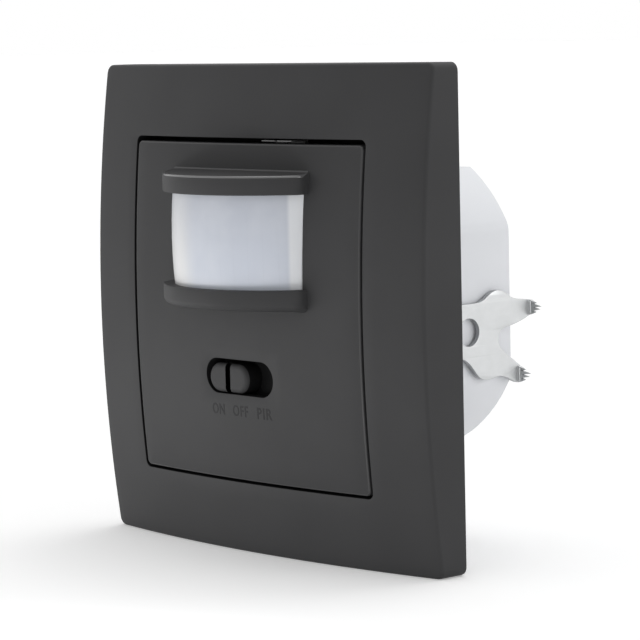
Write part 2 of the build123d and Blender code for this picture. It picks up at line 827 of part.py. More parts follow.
def housing_inside_parts():
    parts = []
    board_back = sensor_board_front + board_thickness + fit
    for level in (-1, 1):
        near = level * ledge_inner_height
        far = level * housing_radius
        parts.append(block(-ledge_half_width, ledge_half_width, board_back,
                           board_back + sensor_ledge_depth, min(near, far), max(near, far)))
        for side in (-1, 1):
            parts.append(rod_y(boss_radius, 0, front_boss_depth, side * plate_screw_x, level * plate_screw_z))
    for side in (-1, 1):
        near = side * (pocket_inner - pocket_wall)
        far = side * housing_flat
        parts.append(block(min(near, far), max(near, far), 0, pocket_depth + pocket_wall,
                           pocket_bottom - pocket_wall, pocket_top + pocket_wall))
    rim_front = rear_wall_front - cap_rim_depth
    rim = housing_form(housing_wall - fit, rim_front, rear_wall_front)
    rim -= housing_form(housing_wall + cap_rim, rim_front - overrun, rear_wall_front + overrun)
    rim -= block(terminal_left - window_gap, terminal_right + window_gap, rim_front - overrun,
                 rear_wall_front + overrun, terminal_bottom - window_gap, terminal_top)
    parts.append(rim)
    return parts


def build_rear_cap():
    body = housing_form(housing_wall + fit, rear_wall_front + fit, housing_depth)
    for x, z in rear_boss_places:
        body += rod_y(boss_radius, main_board_back + fit, rear_wall_front + 2 * fit, x, z)
        body -= rod_y(small_screw_radius + fit, main_board_front,
                      main_board_front + small_screw_length + hole_spare, x, z)
    return body - block(terminal_left - window_gap, terminal_right + window_gap, rear_wall_front - overrun,
                        housing_depth + overrun, terminal_bottom - window_gap, terminal_top + window_gap)


# A claw: a flat star outside the housing, with a tab that is bent inwards to its pivot and its screw
def claw_point(share_y, share_z):
    return claw_tab_front + share_y * claw_length, claw_lowest + share_z * claw_spread


def build_claw(side):
    tab_back = claw_tab_front + claw_sheet
    corners = [claw_point(*shares) for shares in claw_outline_shares]
    strap_top = (claw_point(strap_top_share, 0)[0], claw_top)
    strap_bottom = (claw_point(strap_bottom_share, 0)[0], claw_bottom)
    face = make_face(Polyline((claw_tab_front, claw_top), strap_top, *corners, strap_bottom,
                              (claw_tab_front, claw_bottom), close=True))
    rounded = [v for v in face.vertices() if v.X > claw_tab_front + claw_sheet]
    face = fillet(rounded, claw_corner)
    star = Pos(claw_inner, 0, 0) * extrude(Plane.YZ * face, claw_sheet)
    for radius, shares in ((claw_window_radius, claw_window_shares), (claw_notch_radius, claw_notch_shares)):
        star -= rod_x(radius, claw_inner - overrun, claw_outer + overrun, *claw_point(*shares))
    star += block(claw_pivot_x, claw_outer, claw_tab_front, tab_back, claw_bottom, claw_top)
    bend = star.edges().filter_by(Axis.Z).sort_by(lambda e: e.center().Y - e.center().X)[0]
    star = fillet(bend, claw_bend_round)
    star += rod_z(claw_roll_radius, claw_bottom, claw_top, claw_pivot_x, claw_pivot_y)
    star -= rod_y(claw_tab_hole_radius, claw_tab_front - overrun, tab_back + overrun,
                  claw_screw_x, claw_screw_z)
    for end_share, (low_share, high_share) in ((1.0, upper_tip_shares), (lower_arm_share, lower_tip_shares)):
        star += build_tip(end_share, low_share, high_share)
    return star if side > 0 else mirror(star, Plane.YZ)


# The end of an arm is bent outwards and cut into teeth that bite into the wall box
def build_tip(end_share, low_share, high_share):
    end, low = claw_point(end_share, low_share)
    high = claw_point(end_share, high_share)[1]
    low += claw_corner / 2
    high -= claw_corner / 2
    pitch = (high - low) / tooth_count
    points = [(claw_outer - fit, low)]
    for i in range(tooth_count):
        points.append((claw_outer + tip_reach - tooth_depth, low + i * pitch))
        points.append((claw_outer + tip_reach, low + (i + 1 / 2) * pitch))
    points += [(claw_outer + tip_reach - tooth_depth, high), (claw_outer - fit, high)]
    front = Plane(origin=(0, end - claw_sheet, 0), x_dir=(1, 0, 0), z_dir=(0, -1, 0))
    return extrude(front * make_face(Polyline(*points, close=True)), -claw_sheet)


def build_claw_screw(side):
    length = claw_screw_tip + plate_thickness + fit
    return headed_screw(claw_screw_radius, length, claw_screw_head_radius, claw_screw_head_height,
                        -plate_thickness - fit, side * claw_screw_x, claw_screw_z, 1)


# Main board and the parts that stand on it
def terminal_tail_z():
    return wire_z + cell_half_height - cage_gap - tail_half_width


def build_main_board():
    body = rod_y(board_radius, main_board_front, main_board_back)
    half = inner_flat - board_wall_gap
    body &= block(-half, half, main_board_front, main_board_back, -board_radius, board_radius)
    holes = [(x, z, small_screw_radius) for x, z in rear_boss_places]
    holes += [(x, link_height, link_pin_radius) for x in link_pin_xs()]
    holes += [(x, terminal_tail_z(), 2 * tail_half_width) for x in terminal_xs]
    for x, z, radius in holes:
        body -= rod_y(radius + pin_hole_gap, main_board_front - overrun, main_board_back + overrun, x, z)
    return body


def build_main_board_screws():
    return [headed_screw(small_screw_radius, small_screw_length, small_head_radius, small_head_height,
                         main_board_front, x, z, 1) for x, z in rear_boss_places]


def standing_block(length, width, head_room, shares):
    back = main_board_front - fit
    height = board_room - head_room
    x, z = on_board(shares)
    body = block(x - length / 2, x + length / 2, back - height, back, z - width / 2, z + width / 2)
    return fillet(body.edges().group_by(Axis.Y)[0], component_edge)


def build_electrolytic():
    back = main_board_front - fit
    x, z = on_board(electrolytic_shares)
    body = rod_y(electrolytic_radius, back - board_room + electrolytic_head_room, back, x, z)
    groove_y = back - 2 * electrolytic_groove - component_edge
    ring = rod_y(electrolytic_radius + overrun, groove_y - electrolytic_groove, groove_y, x, z)
    ring -= rod_y(electrolytic_radius - electrolytic_groove, groove_y - overrun, groove_y + overrun, x, z)
    return body - ring


def build_varistor():
    back = main_board_front - fit
    x, z = on_board(varistor_shares)
    radius = (board_room - varistor_head_room) / 2
    half = varistor_thickness / 2
    return rod_z(radius, z - half, z + half, x, back - radius)


def build_fuse():
    back = main_board_front - fit
    x, z = on_board(fuse_shares)
    body = rod_y(fuse_radius, back - board_room + fuse_head_room, back, x, z)
    return fillet(body.edges().group_by(Axis.Y)[0], component_edge)


# Diodes and resistors lie along X, each with two bent leads that reach the board
def axial_parts(radius, length, share):
    parts = []
    back = main_board_front - fit
    middle = back - radius
    z = share * board_radius
    for x in [place * board_radius for place in axial_shares]:
        body = rod_x(radius, x - length / 2, x + length / 2, middle, z)
        reach = length / 2 + 2 * lead_radius
        body += rod_x(lead_radius, x - reach, x + reach, middle, z)
        for side in (-1, 1):
            body += rod_y(lead_radius, middle, back, x + side * (length / 2 + 2 * lead_radius), z)
        parts.append(body)
    return parts


def build_terminal_block():
    body = block(terminal_left, terminal_right, terminal_front, terminal_back, terminal_bottom, terminal_top)
    cell_floor = wire_z - cell_half_height
    for x in terminal_xs:
        body -= block(x - cell_half_width, x + cell_half_width, terminal_front - overrun, cell_back,
                      cell_floor, wire_z + cell_half_height)
        body -= rod_y(wire_hole_radius, cell_back - overrun, terminal_back + overrun, x, wire_z)
        body -= rod_z(terminal_head_radius + cage_gap, terminal_bottom - overrun, cell_floor + overrun,
                      x, screw_y)
    return body


def build_terminal_clamps():
    clamps = []
    half_width = cell_half_width - cage_gap
    half_height = cell_half_height - cage_gap
    tail_z = terminal_tail_z()
    for x in terminal_xs:
        cage = block(x - half_width, x + half_width, cage_front, cage_back,
                     wire_z - half_height, wire_z + half_height)
        cage -= block(x - half_width + cage_wall, x + half_width - cage_wall, cage_front - overrun,
                      cage_back + overrun, wire_z - half_height + cage_wall, wire_z + half_height - cage_wall)
        cage -= rod_z(terminal_screw_radius + fit, wire_z - half_height - overrun, wire_z, x, screw_y)
        cage += block(x - tail_half_width, x + tail_half_width, main_board_front, cage_front + fit,
                      tail_z - tail_half_width, tail_z + tail_half_width)
        clamps.append(cage)
    return clamps


def build_terminal_screws():
    screws = []
    for x in terminal_xs:
        low = terminal_bottom + terminal_screw_recess
        neck = low + terminal_head_height
        screw = rod_z(terminal_head_radius, low, neck, x, screw_y)
        screw += rod_z(terminal_screw_radius, neck - fit, neck + terminal_screw_length, x, screw_y)
        screw -= block(x - terminal_head_radius, x + terminal_head_radius, screw_y - driver_slot_width / 2,
                       screw_y + driver_slot_width / 2, low - overrun, low + driver_slot_depth)
        screws.append(screw)
    return screws


os.makedirs("parts", exist_ok=True)
save("cover_frame", build_cover_frame())
save("centre_cover", build_centre_cover())
save("fresnel_lens", build_fresnel_lens())
save("lens_retainer", build_lens_retainer())
save("retainer_screws", *build_retainer_screws())
save("slide_knob", build_slide_knob())
save("support_plate", build_support_plate())
save("plate_screws", *build_plate_screws())
save("housing", build_housing())
save("rear_cap", build_rear_cap())
save("sensor_board", build_sensor_board())
save("sensor_board_screws", *build_sensor_board_screws())
save("pyro_base", build_pyro_base())
save("pyro_can", build_pyro_can())
save("pyro_filter", build_pyro_filter())
save("light_sensor", build_light_sensor())
save("control_chip", build_control_chip())
save("switch_shell", build_switch_shell())
save("switch_base", build_switch_base())
save("switch_actuator", build_switch_actuator())
save("time_trimmer", build_trimmer(-1))
save("time_rotor", build_rotor(-1))
save("lux_trimmer", build_trimmer(1))
save("lux_rotor", build_rotor(1))
save("board_link", build_board_link())
save("claw_right", build_claw(1))
save("claw_left", build_claw(-1))
save("claw_screw_right", build_claw_screw(1))
save("claw_screw_left", build_claw_screw(-1))
save("main_board", build_main_board())
save("main_board_screws", *build_main_board_screws())
save("relay", standing_block(relay_length, relay_width, relay_head_room, (0, relay_share)))
save("film_capacitor", standing_block(film_capacitor_length, film_capacitor_width, film_capacitor_head_room,
                                      film_capacitor_shares))
save("smoothing_capacitor", build_electrolytic())
save("varistor", build_varistor())
save("fuse", build_fuse())
save("diodes", *axial_parts(diode_radius, diode_length, diode_share))
save("resistors", *axial_parts(resistor_radius, resistor_length, resistor_share))
save("terminal_block", build_terminal_block())
save("terminal_clamps", *build_terminal_clamps())
save("terminal_screws", *build_terminal_screws())
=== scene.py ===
import json
import math

import bmesh
import bpy
from mathutils import Matrix, Vector

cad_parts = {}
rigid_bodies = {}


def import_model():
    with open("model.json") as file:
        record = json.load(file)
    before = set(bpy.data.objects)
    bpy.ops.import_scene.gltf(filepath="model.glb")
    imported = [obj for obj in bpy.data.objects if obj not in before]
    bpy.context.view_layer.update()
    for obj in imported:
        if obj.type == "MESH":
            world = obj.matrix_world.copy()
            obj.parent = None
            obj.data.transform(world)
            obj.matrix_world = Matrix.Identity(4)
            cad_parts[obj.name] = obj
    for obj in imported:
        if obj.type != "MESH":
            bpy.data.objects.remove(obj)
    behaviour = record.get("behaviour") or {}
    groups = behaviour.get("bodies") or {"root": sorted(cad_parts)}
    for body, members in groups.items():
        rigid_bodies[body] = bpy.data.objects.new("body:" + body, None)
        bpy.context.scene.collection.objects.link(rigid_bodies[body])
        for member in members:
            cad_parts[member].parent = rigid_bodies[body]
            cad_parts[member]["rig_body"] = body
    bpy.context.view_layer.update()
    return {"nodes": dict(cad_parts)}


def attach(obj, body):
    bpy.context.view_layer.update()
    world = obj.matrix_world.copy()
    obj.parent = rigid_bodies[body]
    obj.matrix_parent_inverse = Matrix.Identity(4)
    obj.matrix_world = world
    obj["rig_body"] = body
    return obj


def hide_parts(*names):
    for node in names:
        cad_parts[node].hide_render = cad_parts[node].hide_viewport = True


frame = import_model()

scene = bpy.context.scene
scene.view_settings.view_transform = "Standard"
mm = 0.001
print("frame loaded:", len(frame["nodes"]), "nodes")


# Shader maths: a wrapped socket, so that expressions add their own Math nodes
class Signal:
    def __init__(self, tree, socket=None):
        self.tree = tree
        self.socket = socket

    def make(self, kind, settings=None, sockets=None, output=0):
        node = self.tree.nodes.new(kind)
        for name, value in (settings or {}).items():
            setattr(node, name, value)
        for name, value in (sockets or {}).items():
            if isinstance(value, Signal):
                self.tree.links.new(value.socket, node.inputs[name])
            else:
                node.inputs[name].default_value = value
        return Signal(self.tree, node.outputs[output]) if node.outputs else None

    def maths(self, operation, first, second=0.0):
        return self.make("ShaderNodeMath", {"operation": operation}, {0: first, 1: second})

    def __add__(self, other):
        return self.maths("ADD", self, other)

    def __radd__(self, other):
        return self.maths("ADD", other, self)

    def __sub__(self, other):
        return self.maths("SUBTRACT", self, other)

    def __rsub__(self, other):
        return self.maths("SUBTRACT", other, self)

    def __mul__(self, other):
        return self.maths("MULTIPLY", self, other)

    def __truediv__(self, other):
        return self.maths("DIVIDE", self, other)


def startMaterial(name):
    material = bpy.data.materials.new(name)
    material.use_nodes = True
    material.node_tree.nodes.clear()
    return material, Signal(material.node_tree)


def mixColour(signal, factor, first, second):
    first = first if isinstance(first, Signal) else (*first, 1)
    second = second if isinstance(second, Signal) else (*second, 1)
    return signal.make("ShaderNodeMix", {"data_type": "RGBA"}, {0: factor, 6: first, 7: second}, 2)


def noise(signal, place, scale, detail=3.0, roughness=0.5):
    return signal.make("ShaderNodeTexNoise", {}, {"Vector": place, "Scale": scale, "Detail": detail,
                                                  "Roughness": roughness})


def ramp(signal, value, low, high):
    return signal.make("ShaderNodeMapRange", {"interpolation_type": "SMOOTHSTEP"},
                       {"Value": value, "From Min": low, "From Max": high})


def finishSurface(signal, sockets, height, strength, distance):
    bump = signal.make("ShaderNodeBump", {}, {"Height": height, "Strength": strength, "Distance": distance})
    shader = signal.make("ShaderNodeBsdfPrincipled", {}, {**sockets, "Normal": bump})
    signal.make("ShaderNodeOutputMaterial", {}, {"Surface": shader})


# Moulded plastic: a spark-eroded grain, slow drifts of tone and a little wear on the grain's tops
def mouldedPlastic(name, look):
    material, signal = startMaterial(name)
    place = signal.make("ShaderNodeTexCoord", output="Object")
    grain = noise(signal, place, look["grainScale"], 4.0, 0.6)
    drift = noise(signal, place, look["driftScale"], 2.0)
    tone = mixColour(signal, ramp(signal, drift, 0.3, 0.7), look["colour"], look["otherColour"])
    tone = mixColour(signal, ramp(signal, grain, 0.62, 0.8) * look["fleck"], tone, look["fleckColour"])
    roughness = look["roughness"] + (grain - 0.5) * look["roughnessRange"]
    sockets = {"Base Color": tone, "Roughness": roughness, "Specular IOR Level": look["specular"]}
    finishSurface(signal, sockets, grain, look["grainStrength"], look["grainDepth"])
    return material


anthraciteLook = {
    "colour": (0.038, 0.038, 0.0392), "otherColour": (0.042, 0.042, 0.0433),
    "fleckColour": (0.070, 0.070, 0.072), "fleck": 0.25,
    "roughness": 0.55, "roughnessRange": 0.15, "specular": 0.18,
    "grainScale": 4200.0, "driftScale": 55.0, "grainStrength": 0.35, "grainDepth": 0.00004,
}
whiteLook = {
    "colour": (0.775, 0.79, 0.82), "otherColour": (0.80, 0.81, 0.84),
    "fleckColour": (0.84, 0.85, 0.86), "fleck": 0.2,
    "roughness": 0.38, "roughnessRange": 0.10, "specular": 0.5,
    "grainScale": 2600.0, "driftScale": 60.0, "grainStrength": 0.12, "grainDepth": 0.00003,
}


def variantOf(base, **changes):
    return {**base, **changes}


anthracite = mouldedPlastic("anthracitePlastic", anthraciteLook)
housingWhite = mouldedPlastic("housingWhite", whiteLook)
# Black plastic for the black parts; the same black is also painted shade on the frame's aperture wall, the
# ledge in the gap, the slot's walls and the knob's sides
blackPlastic = mouldedPlastic("blackPlastic", variantOf(
    anthraciteLook, colour=(0.007, 0.007, 0.0073), otherColour=(0.009, 0.009, 0.0094),
    fleckColour=(0.015, 0.015, 0.015), roughness=0.7, specular=0.08))
softEdge = mouldedPlastic("softEdge", variantOf(anthraciteLook, roughness=0.42, specular=0.38))
# A smooth, glossy edge whose lighter colour is a painted highlight along the upper brow's top edge
smoothEdge = mouldedPlastic("smoothEdge", variantOf(
    anthraciteLook, colour=(0.090, 0.090, 0.092), otherColour=(0.10, 0.10, 0.102), fleck=0.0,
    roughness=0.20, roughnessRange=0.04, specular=1.0, grainStrength=0.1))
# The bars' light grey is painted light: the light that falls on them through the gap above the cover
paleBar = mouldedPlastic("paleBar", variantOf(
    anthraciteLook, colour=(0.16, 0.16, 0.16), otherColour=(0.18, 0.18, 0.18), fleck=0.0, roughness=0.45,
    specular=0.5, grainStrength=0.1))
# The letters are engraved; their darker colour is painted shade of the grooves, laid on slightly proud plates
letterInk = mouldedPlastic("letterInk", variantOf(
    anthraciteLook, colour=(0.020, 0.020, 0.021), otherColour=(0.026, 0.026, 0.027),
    fleckColour=(0.035, 0.035, 0.035), roughness=0.6, specular=0.2))


# The lens is milky polythene, smooth outside, with the ribs of its inner face showing through. Its colour is
# lighter on the left side, painted light, and darker towards the top, painted shade of the upper brow
lensLook = {
    # The left colour is painted light and the top colour is painted shade of the upper brow
    "middle": (0.60, 0.635, 0.71), "side": (0.775, 0.79, 0.815), "left": (0.775, 0.775, 0.775),
    "top": (0.46, 0.48, 0.535), "rib": (0.52, 0.55, 0.62), "cloud": (0.70, 0.725, 0.77),
    "bandAngle": 46.9, "bandEdge": 1.2, "leftAngles": (-2.0, -19.0),
    "topHeights": (6.0, 24.0), "topShare": 0.7,
    "ribPitch": 7.4, "ribWidth": 0.035, "ribShare": 0.22, "arcPitch": 0.42, "arcShare": 0.04,
    "cloudScale": 160.0, "cloudShare": 0.25, "roughness": 0.30, "roughnessRange": 0.1,
    "glow": 0.25, "glowDepth": 0.0008, "bump": 0.25, "bumpDepth": 0.00006,
    "radius": 20.7, "axisY": 0.8, "middleHeight": 12.9,
}


def lensMaterial(look):
    material, signal = startMaterial("lensPlastic")
    place = signal.make("ShaderNodeTexCoord", output="Object")
    x, y, z = (signal.make("ShaderNodeSeparateXYZ", {}, {"Vector": place}, output) for output in "XYZ")
    angle = signal.maths("ARCTAN2", x, look["axisY"] * mm - y) * (180 / math.pi)
    band = ramp(signal, signal.maths("ABSOLUTE", angle), look["bandAngle"] - look["bandEdge"],
                look["bandAngle"] + look["bandEdge"])
    cell = signal.maths("FRACT", (angle + 180.0) / look["ribPitch"])
    rib = ramp(signal, signal.maths("ABSOLUTE", cell - 0.5), 0.5 - look["ribWidth"], 0.5) * (1 - band)
    across = (cell - 0.5) * (math.radians(look["ribPitch"]) * look["radius"] * mm)
    upright = z - look["middleHeight"] * mm
    distance = signal.maths("SQRT", across * across + upright * upright)
    groove = signal.maths("FRACT", distance / (look["arcPitch"] * mm))
    cloud = noise(signal, place, look["cloudScale"], 2.0)
    browShadeLow, browShadeHigh = (height * mm for height in look["topHeights"])
    # Lighter on the left side: painted light from the lamps on the left
    tone = mixColour(signal, ramp(signal, angle, *look["leftAngles"]), look["middle"], look["left"])
    # Darker towards the top: painted shade of the upper brow
    tone = mixColour(signal, ramp(signal, z, browShadeLow, browShadeHigh) * look["topShare"], tone, look["top"])
    tone = mixColour(signal, band, tone, look["side"])
    inner = rib * look["ribShare"] + groove * look["arcShare"] * (1 - band)
    tone = mixColour(signal, inner, tone, look["rib"])
    tone = mixColour(signal, ramp(signal, cloud, 0.35, 0.75) * look["cloudShare"], tone, look["cloud"])
    sockets = {"Base Color": tone, "Roughness": look["roughness"] + cloud * look["roughnessRange"],
               "Subsurface Weight": look["glow"], "Subsurface Scale": look["glowDepth"],
               "Subsurface Radius": (1.0, 1.0, 1.0)}
    finishSurface(signal, sockets, groove * look["arcShare"] - rib, look["bump"], look["bumpDepth"])
    return material


lensPlastic = lensMaterial(lensLook)


# Metal: fine streaks along one way over a drifting tone
def sheetMetal(name, look):
    material, signal = startMaterial(name)
    place = signal.make("ShaderNodeTexCoord", output="Object")
    stretched = signal.make("ShaderNodeMapping", {}, {"Vector": place, "Scale": look["streak"]})
    streak = noise(signal, stretched, look["streakScale"], 4.0, 0.6)
    cells = signal.make("ShaderNodeTexVoronoi", {}, {"Vector": place, "Scale": look["spangleScale"]}, "Color")
    spangle = signal.make("ShaderNodeRGBToBW", {}, {"Color": cells}) * look["spangle"]
    tone = mixColour(signal, ramp(signal, streak, 0.25, 0.8), look["colour"], look["otherColour"])
    tone = mixColour(signal, spangle, tone, look["spangleColour"])
    roughness = look["roughness"] + (streak - 0.5) * look["roughnessRange"]
    roughness = roughness + spangle * look["spangleRoughness"]
    sockets = {"Base Color": tone, "Metallic": 1.0, "Roughness": roughness}
    finishSurface(signal, sockets, streak, look["bump"], look["bumpDepth"])
    return material


zincLook = {
    "colour": (0.55, 0.56, 0.565), "otherColour": (0.585, 0.595, 0.60), "streak": (1.0, 0.5, 1.0),
    "streakScale": 900.0, "roughness": 0.36, "roughnessRange": 0.12, "bump": 0.08, "bumpDepth": 0.00002,
    "spangleColour": (0.63, 0.64, 0.645), "spangle": 0.22, "spangleScale": 900.0, "spangleRoughness": 0.2,
}
zinc = sheetMetal("zincSheet", zincLook)
# Darker zinc for the claws' cut edges: partly the bare cut edge, partly painted shade for the dark lines
# along the outline
cutZinc = sheetMetal("cutZinc", variantOf(
    zincLook, colour=(0.34, 0.35, 0.36), otherColour=(0.42, 0.43, 0.44), spangle=0.1, roughness=0.5))
screwSteel = sheetMetal("screwSteel", variantOf(
    zincLook, colour=(0.52, 0.52, 0.50), otherColour=(0.62, 0.62, 0.60), spangle=0.1, roughness=0.30))
sensorMetal = sheetMetal("sensorMetal", variantOf(
    zincLook, colour=(0.60, 0.58, 0.54), otherColour=(0.68, 0.66, 0.62), spangle=0.05, roughness=0.25))
terminalBrass = sheetMetal("terminalBrass", variantOf(
    zincLook, colour=(0.62, 0.45, 0.20), otherColour=(0.74, 0.56, 0.28), spangle=0.05, roughness=0.3))


# Circuit board: solder mask over faint copper tracks
boardLook = {
    "mask": (0.012, 0.085, 0.030), "otherMask": (0.016, 0.105, 0.038), "cloudScale": 300.0,
    "track": (0.022, 0.14, 0.05), "trackShare": 0.5, "trackScale": 420.0, "trackGap": 0.05,
    "roughness": 0.32, "roughnessRange": 0.1, "bump": 0.2, "bumpDepth": 0.00003,
}


def boardMaterial(look):
    material, signal = startMaterial("circuitBoard")
    place = signal.make("ShaderNodeTexCoord", output="Object")
    tracks = signal.make("ShaderNodeTexBrick", {"offset": 0.37, "squash": 1.4, "squash_frequency": 3},
                         {"Vector": place, "Scale": look["trackScale"], "Mortar Size": look["trackGap"],
                          "Color1": (1, 1, 1, 1), "Color2": (0.8, 0.8, 0.8, 1), "Mortar": (0, 0, 0, 1)})
    cloud = noise(signal, place, look["cloudScale"])
    tone = mixColour(signal, ramp(signal, cloud, 0.3, 0.7), look["mask"], look["otherMask"])
    tone = mixColour(signal, tracks * look["trackShare"], tone, look["track"])
    sockets = {"Base Color": tone, "Roughness": look["roughness"] + cloud * look["roughnessRange"]}
    finishSurface(signal, sockets, tracks, look["bump"], look["bumpDepth"])
    return material


circuitBoard = boardMaterial(boardLook)
print("materials made")


def colouredPlastic(name, colour, roughness=0.35):
    lighter = tuple(c * 1.12 for c in colour)
    worn = tuple(min(1, c * 1.3 + 0.01) for c in colour)
    return mouldedPlastic(name, variantOf(
        whiteLook, colour=colour, otherColour=lighter, fleckColour=worn, roughness=roughness))


slotMaterials = {
    "anthracite_plastic": anthracite, "lens_plastic": lensPlastic, "black_plastic": blackPlastic,
    "white_plastic": housingWhite, "zinc_steel": zinc, "screw_steel": screwSteel,
    "circuit_board": circuitBoard, "sensor_metal": sensorMetal,
    "filter_glass": colouredPlastic("filterGlass", (0.03, 0.03, 0.045), 0.12),
    "sensor_face": colouredPlastic("sensorFace", (0.42, 0.13, 0.06)),
    "trimmer_blue": colouredPlastic("trimmerBlue", (0.025, 0.10, 0.40)),
    "relay_shell": colouredPlastic("relayShell", (0.02, 0.10, 0.34), 0.25),
    "capacitor_shell": colouredPlastic("capacitorShell", (0.58, 0.40, 0.05), 0.25),
    "capacitor_sleeve": colouredPlastic("capacitorSleeve", (0.015, 0.015, 0.022), 0.2),
    "varistor_coat": colouredPlastic("varistorCoat", (0.025, 0.08, 0.28), 0.2),
    "resistor_coat": colouredPlastic("resistorCoat", (0.28, 0.45, 0.52), 0.3),
    "terminal_plastic": colouredPlastic("terminalPlastic", (0.34, 0.35, 0.37), 0.5),
    "terminal_brass": terminalBrass,
}
nodeSlots = {}
for nodeName, node in frame["nodes"].items():
    packed = node.data.materials[0].name
    nodeSlots[nodeName] = next(slot for slot in slotMaterials if packed.startswith(slot))
    node.data.materials.clear()
    node.data.materials.append(slotMaterials[nodeSlots[nodeName]])
print("node materials set")


def finishPiece(name, bm, body, slotName, nodes=(), sharpAngle=28, materials=None):
    for edge in bm.edges:
        edge.smooth = len(edge.link_faces) == 2 and edge.calc_face_angle(0) < math.radians(sharpAngle)
    for face in bm.faces:
        face.smooth = True
    mesh = bpy.data.meshes.new(name)
    bm.to_mesh(mesh)
    bm.free()
    for material in materials or [slotMaterials[slotName]]:
        mesh.materials.append(material)
    piece = bpy.data.objects.new(name, mesh)
    scene.collection.objects.link(piece)
    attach(piece, body)
    for node in nodes:
        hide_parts(node)
    return piece


def giveThickness(piece, thickness):
    wall = piece.modifiers.new("wall", "SOLIDIFY")
    wall.thickness = thickness * mm
    wall.offset = -1
    wall.use_even_offset = True


def keepFlat(piece):
    flat = piece.modifiers.new("flatFaces", "WEIGHTED_NORMAL")
    flat.keep_sharp = True


def everything(bm):
    return bm.verts[:] + bm.edges[:] + bm.faces[:]


def vertsOf(geom):
    return [g for g in geom if isinstance(g, bmesh.types.BMVert)]


def edgesOf(verts):
    return list(dict.fromkeys(e for v in verts for e in v.link_edges))


def edgesAmong(verts):
    return [e for e in edgesOf(verts) if e.verts[0] in verts and e.verts[1] in verts]


def facesOf(verts):
    return {f for v in verts for f in v.link_faces}


def runsBack(edge, least):
    return abs(edge.verts[0].co.y - edge.verts[1].co.y) > least * mm


def standUp(bm, verts):
    bmesh.ops.rotate(bm, cent=(0, 0, 0), matrix=Matrix.Rotation(math.pi / 2, 3, "X"), verts=verts)


# A rectangle that faces the front, as the start of a plate
def addRectangle(bm, width, height):
    bmesh.ops.create_grid(bm, x_segments=1, y_segments=1, size=0.5 * mm)
    bmesh.ops.scale(bm, vec=(width, height, 1), verts=bm.verts)
    standUp(bm, bm.verts)


def deepen(bm, depth):
    made = bmesh.ops.extrude_face_region(bm, geom=bm.faces[:])["geom"]
    bmesh.ops.translate(bm, vec=(0, depth * mm, 0), verts=vertsOf(made))
    bmesh.ops.recalc_face_normals(bm, faces=bm.faces)


# Adds a finished part to the piece that it belongs to
def pourInto(bm, part):
    mesh = bpy.data.meshes.new("part")
    part.to_mesh(mesh)
    part.free()
    bm.from_mesh(mesh)
    bpy.data.meshes.remove(mesh)


def meshFromCurve(curve):
    holder = bpy.data.objects.new("holder", curve)
    scene.collection.objects.link(holder)
    bpy.context.view_layer.update()
    mesh = bpy.data.meshes.new_from_object(holder.evaluated_get(bpy.context.evaluated_depsgraph_get()))
    bpy.data.objects.remove(holder)
    bpy.data.curves.remove(curve)
    return mesh


def sliceAt(bm, axis, places):
    for place in places:
        point, normal = Vector(), Vector()
        point[axis], normal[axis] = place * mm, 1
        bmesh.ops.bisect_plane(bm, geom=everything(bm), dist=1e-7, plane_co=point, plane_no=normal)


def roundEdges(bm, edges, offset, segments):
    return bmesh.ops.bevel(bm, geom=edges, offset=offset * mm, offset_type="OFFSET", affect="EDGES",
                           segments=segments, profile=0.5, material=-1, clamp_overlap=False)["faces"]


def paint(faces, index):
    for face in faces:
        face.material_index = index


def addBlock(bm, low, high):
    size = [high[i] - low[i] for i in range(3)]
    middle = [(high[i] + low[i]) / 2 for i in range(3)]
    made = bmesh.ops.create_cube(bm, size=mm)
    bmesh.ops.scale(bm, vec=size, verts=made["verts"])
    bmesh.ops.translate(bm, vec=Vector(middle) * mm, verts=made["verts"])
    return made["verts"]


# The front of the frame and the cover is one dome, curved both ways
dome = {"half": 43.0, "cornerHeight": 5.5, "riseAcross": 3.75, "riseUpright": 3.35}


def domeAt(x, z):
    across = 1 - (x / (dome["half"] * mm)) ** 2
    upright = 1 - (z / (dome["half"] * mm)) ** 2
    return -(dome["cornerHeight"] + dome["riseAcross"] * across + dome["riseUpright"] * upright) * mm


def setOnDome(verts, depth=0.0):
    for vert in verts:
        vert.co.y = domeAt(vert.co.x, vert.co.z) + depth * mm


# A square plate open at the back, its corners rounded, its front cut into strips and set on the dome
def domedPlate(width, low, high, corner, back, xCuts, zCuts):
    bm = bmesh.new()
    front = -20.0  # ahead of the dome, until the face is set on it
    addBlock(bm, (-width / 2, front, low), (width / 2, back, high))
    roundEdges(bm, [e for e in bm.edges if runsBack(e, 1.0)], corner, 7)
    sliceAt(bm, 0, xCuts)
    sliceAt(bm, 2, zCuts)
    backFaces = [f for f in bm.faces if all(abs(v.co.y - back * mm) < 1e-7 for v in f.verts)]
    bmesh.ops.delete(bm, geom=backFaces, context="FACES_ONLY")
    setOnDome([v for v in bm.verts if abs(v.co.y - front * mm) < 1e-7])
    bm.normal_update()
    return bm


def isFrontFace(face):
    return face.normal.y < -0.8


def frontRim(bm):
    return [e for e in bm.edges if len(e.link_faces) == 2 and sum(isFrontFace(f) for f in e.link_faces) == 1]


def insideBox(place, x0, x1, z0, z1, slack=0.0):
    return x0 - slack < place.x / mm < x1 + slack and z0 - slack < place.z / mm < z1 + slack


# Takes the faces inside a box out of the front, and gives the rim of the hole
def removeFront(bm, *box):
    gone = [f for f in bm.faces if isFrontFace(f) and insideBox(f.calc_center_median(), *box)]
    bmesh.ops.delete(bm, geom=gone, context="FACES")
    backLimit = -5.0 * mm  # the plate's own rim at the back is open too
    rim = []
    for edge in bm.edges:
        middle = (edge.verts[0].co + edge.verts[1].co) / 2
        if edge.is_boundary and middle.y < backLimit and insideBox(middle, *box, slack=0.1):
            rim.append(edge)
    return rim


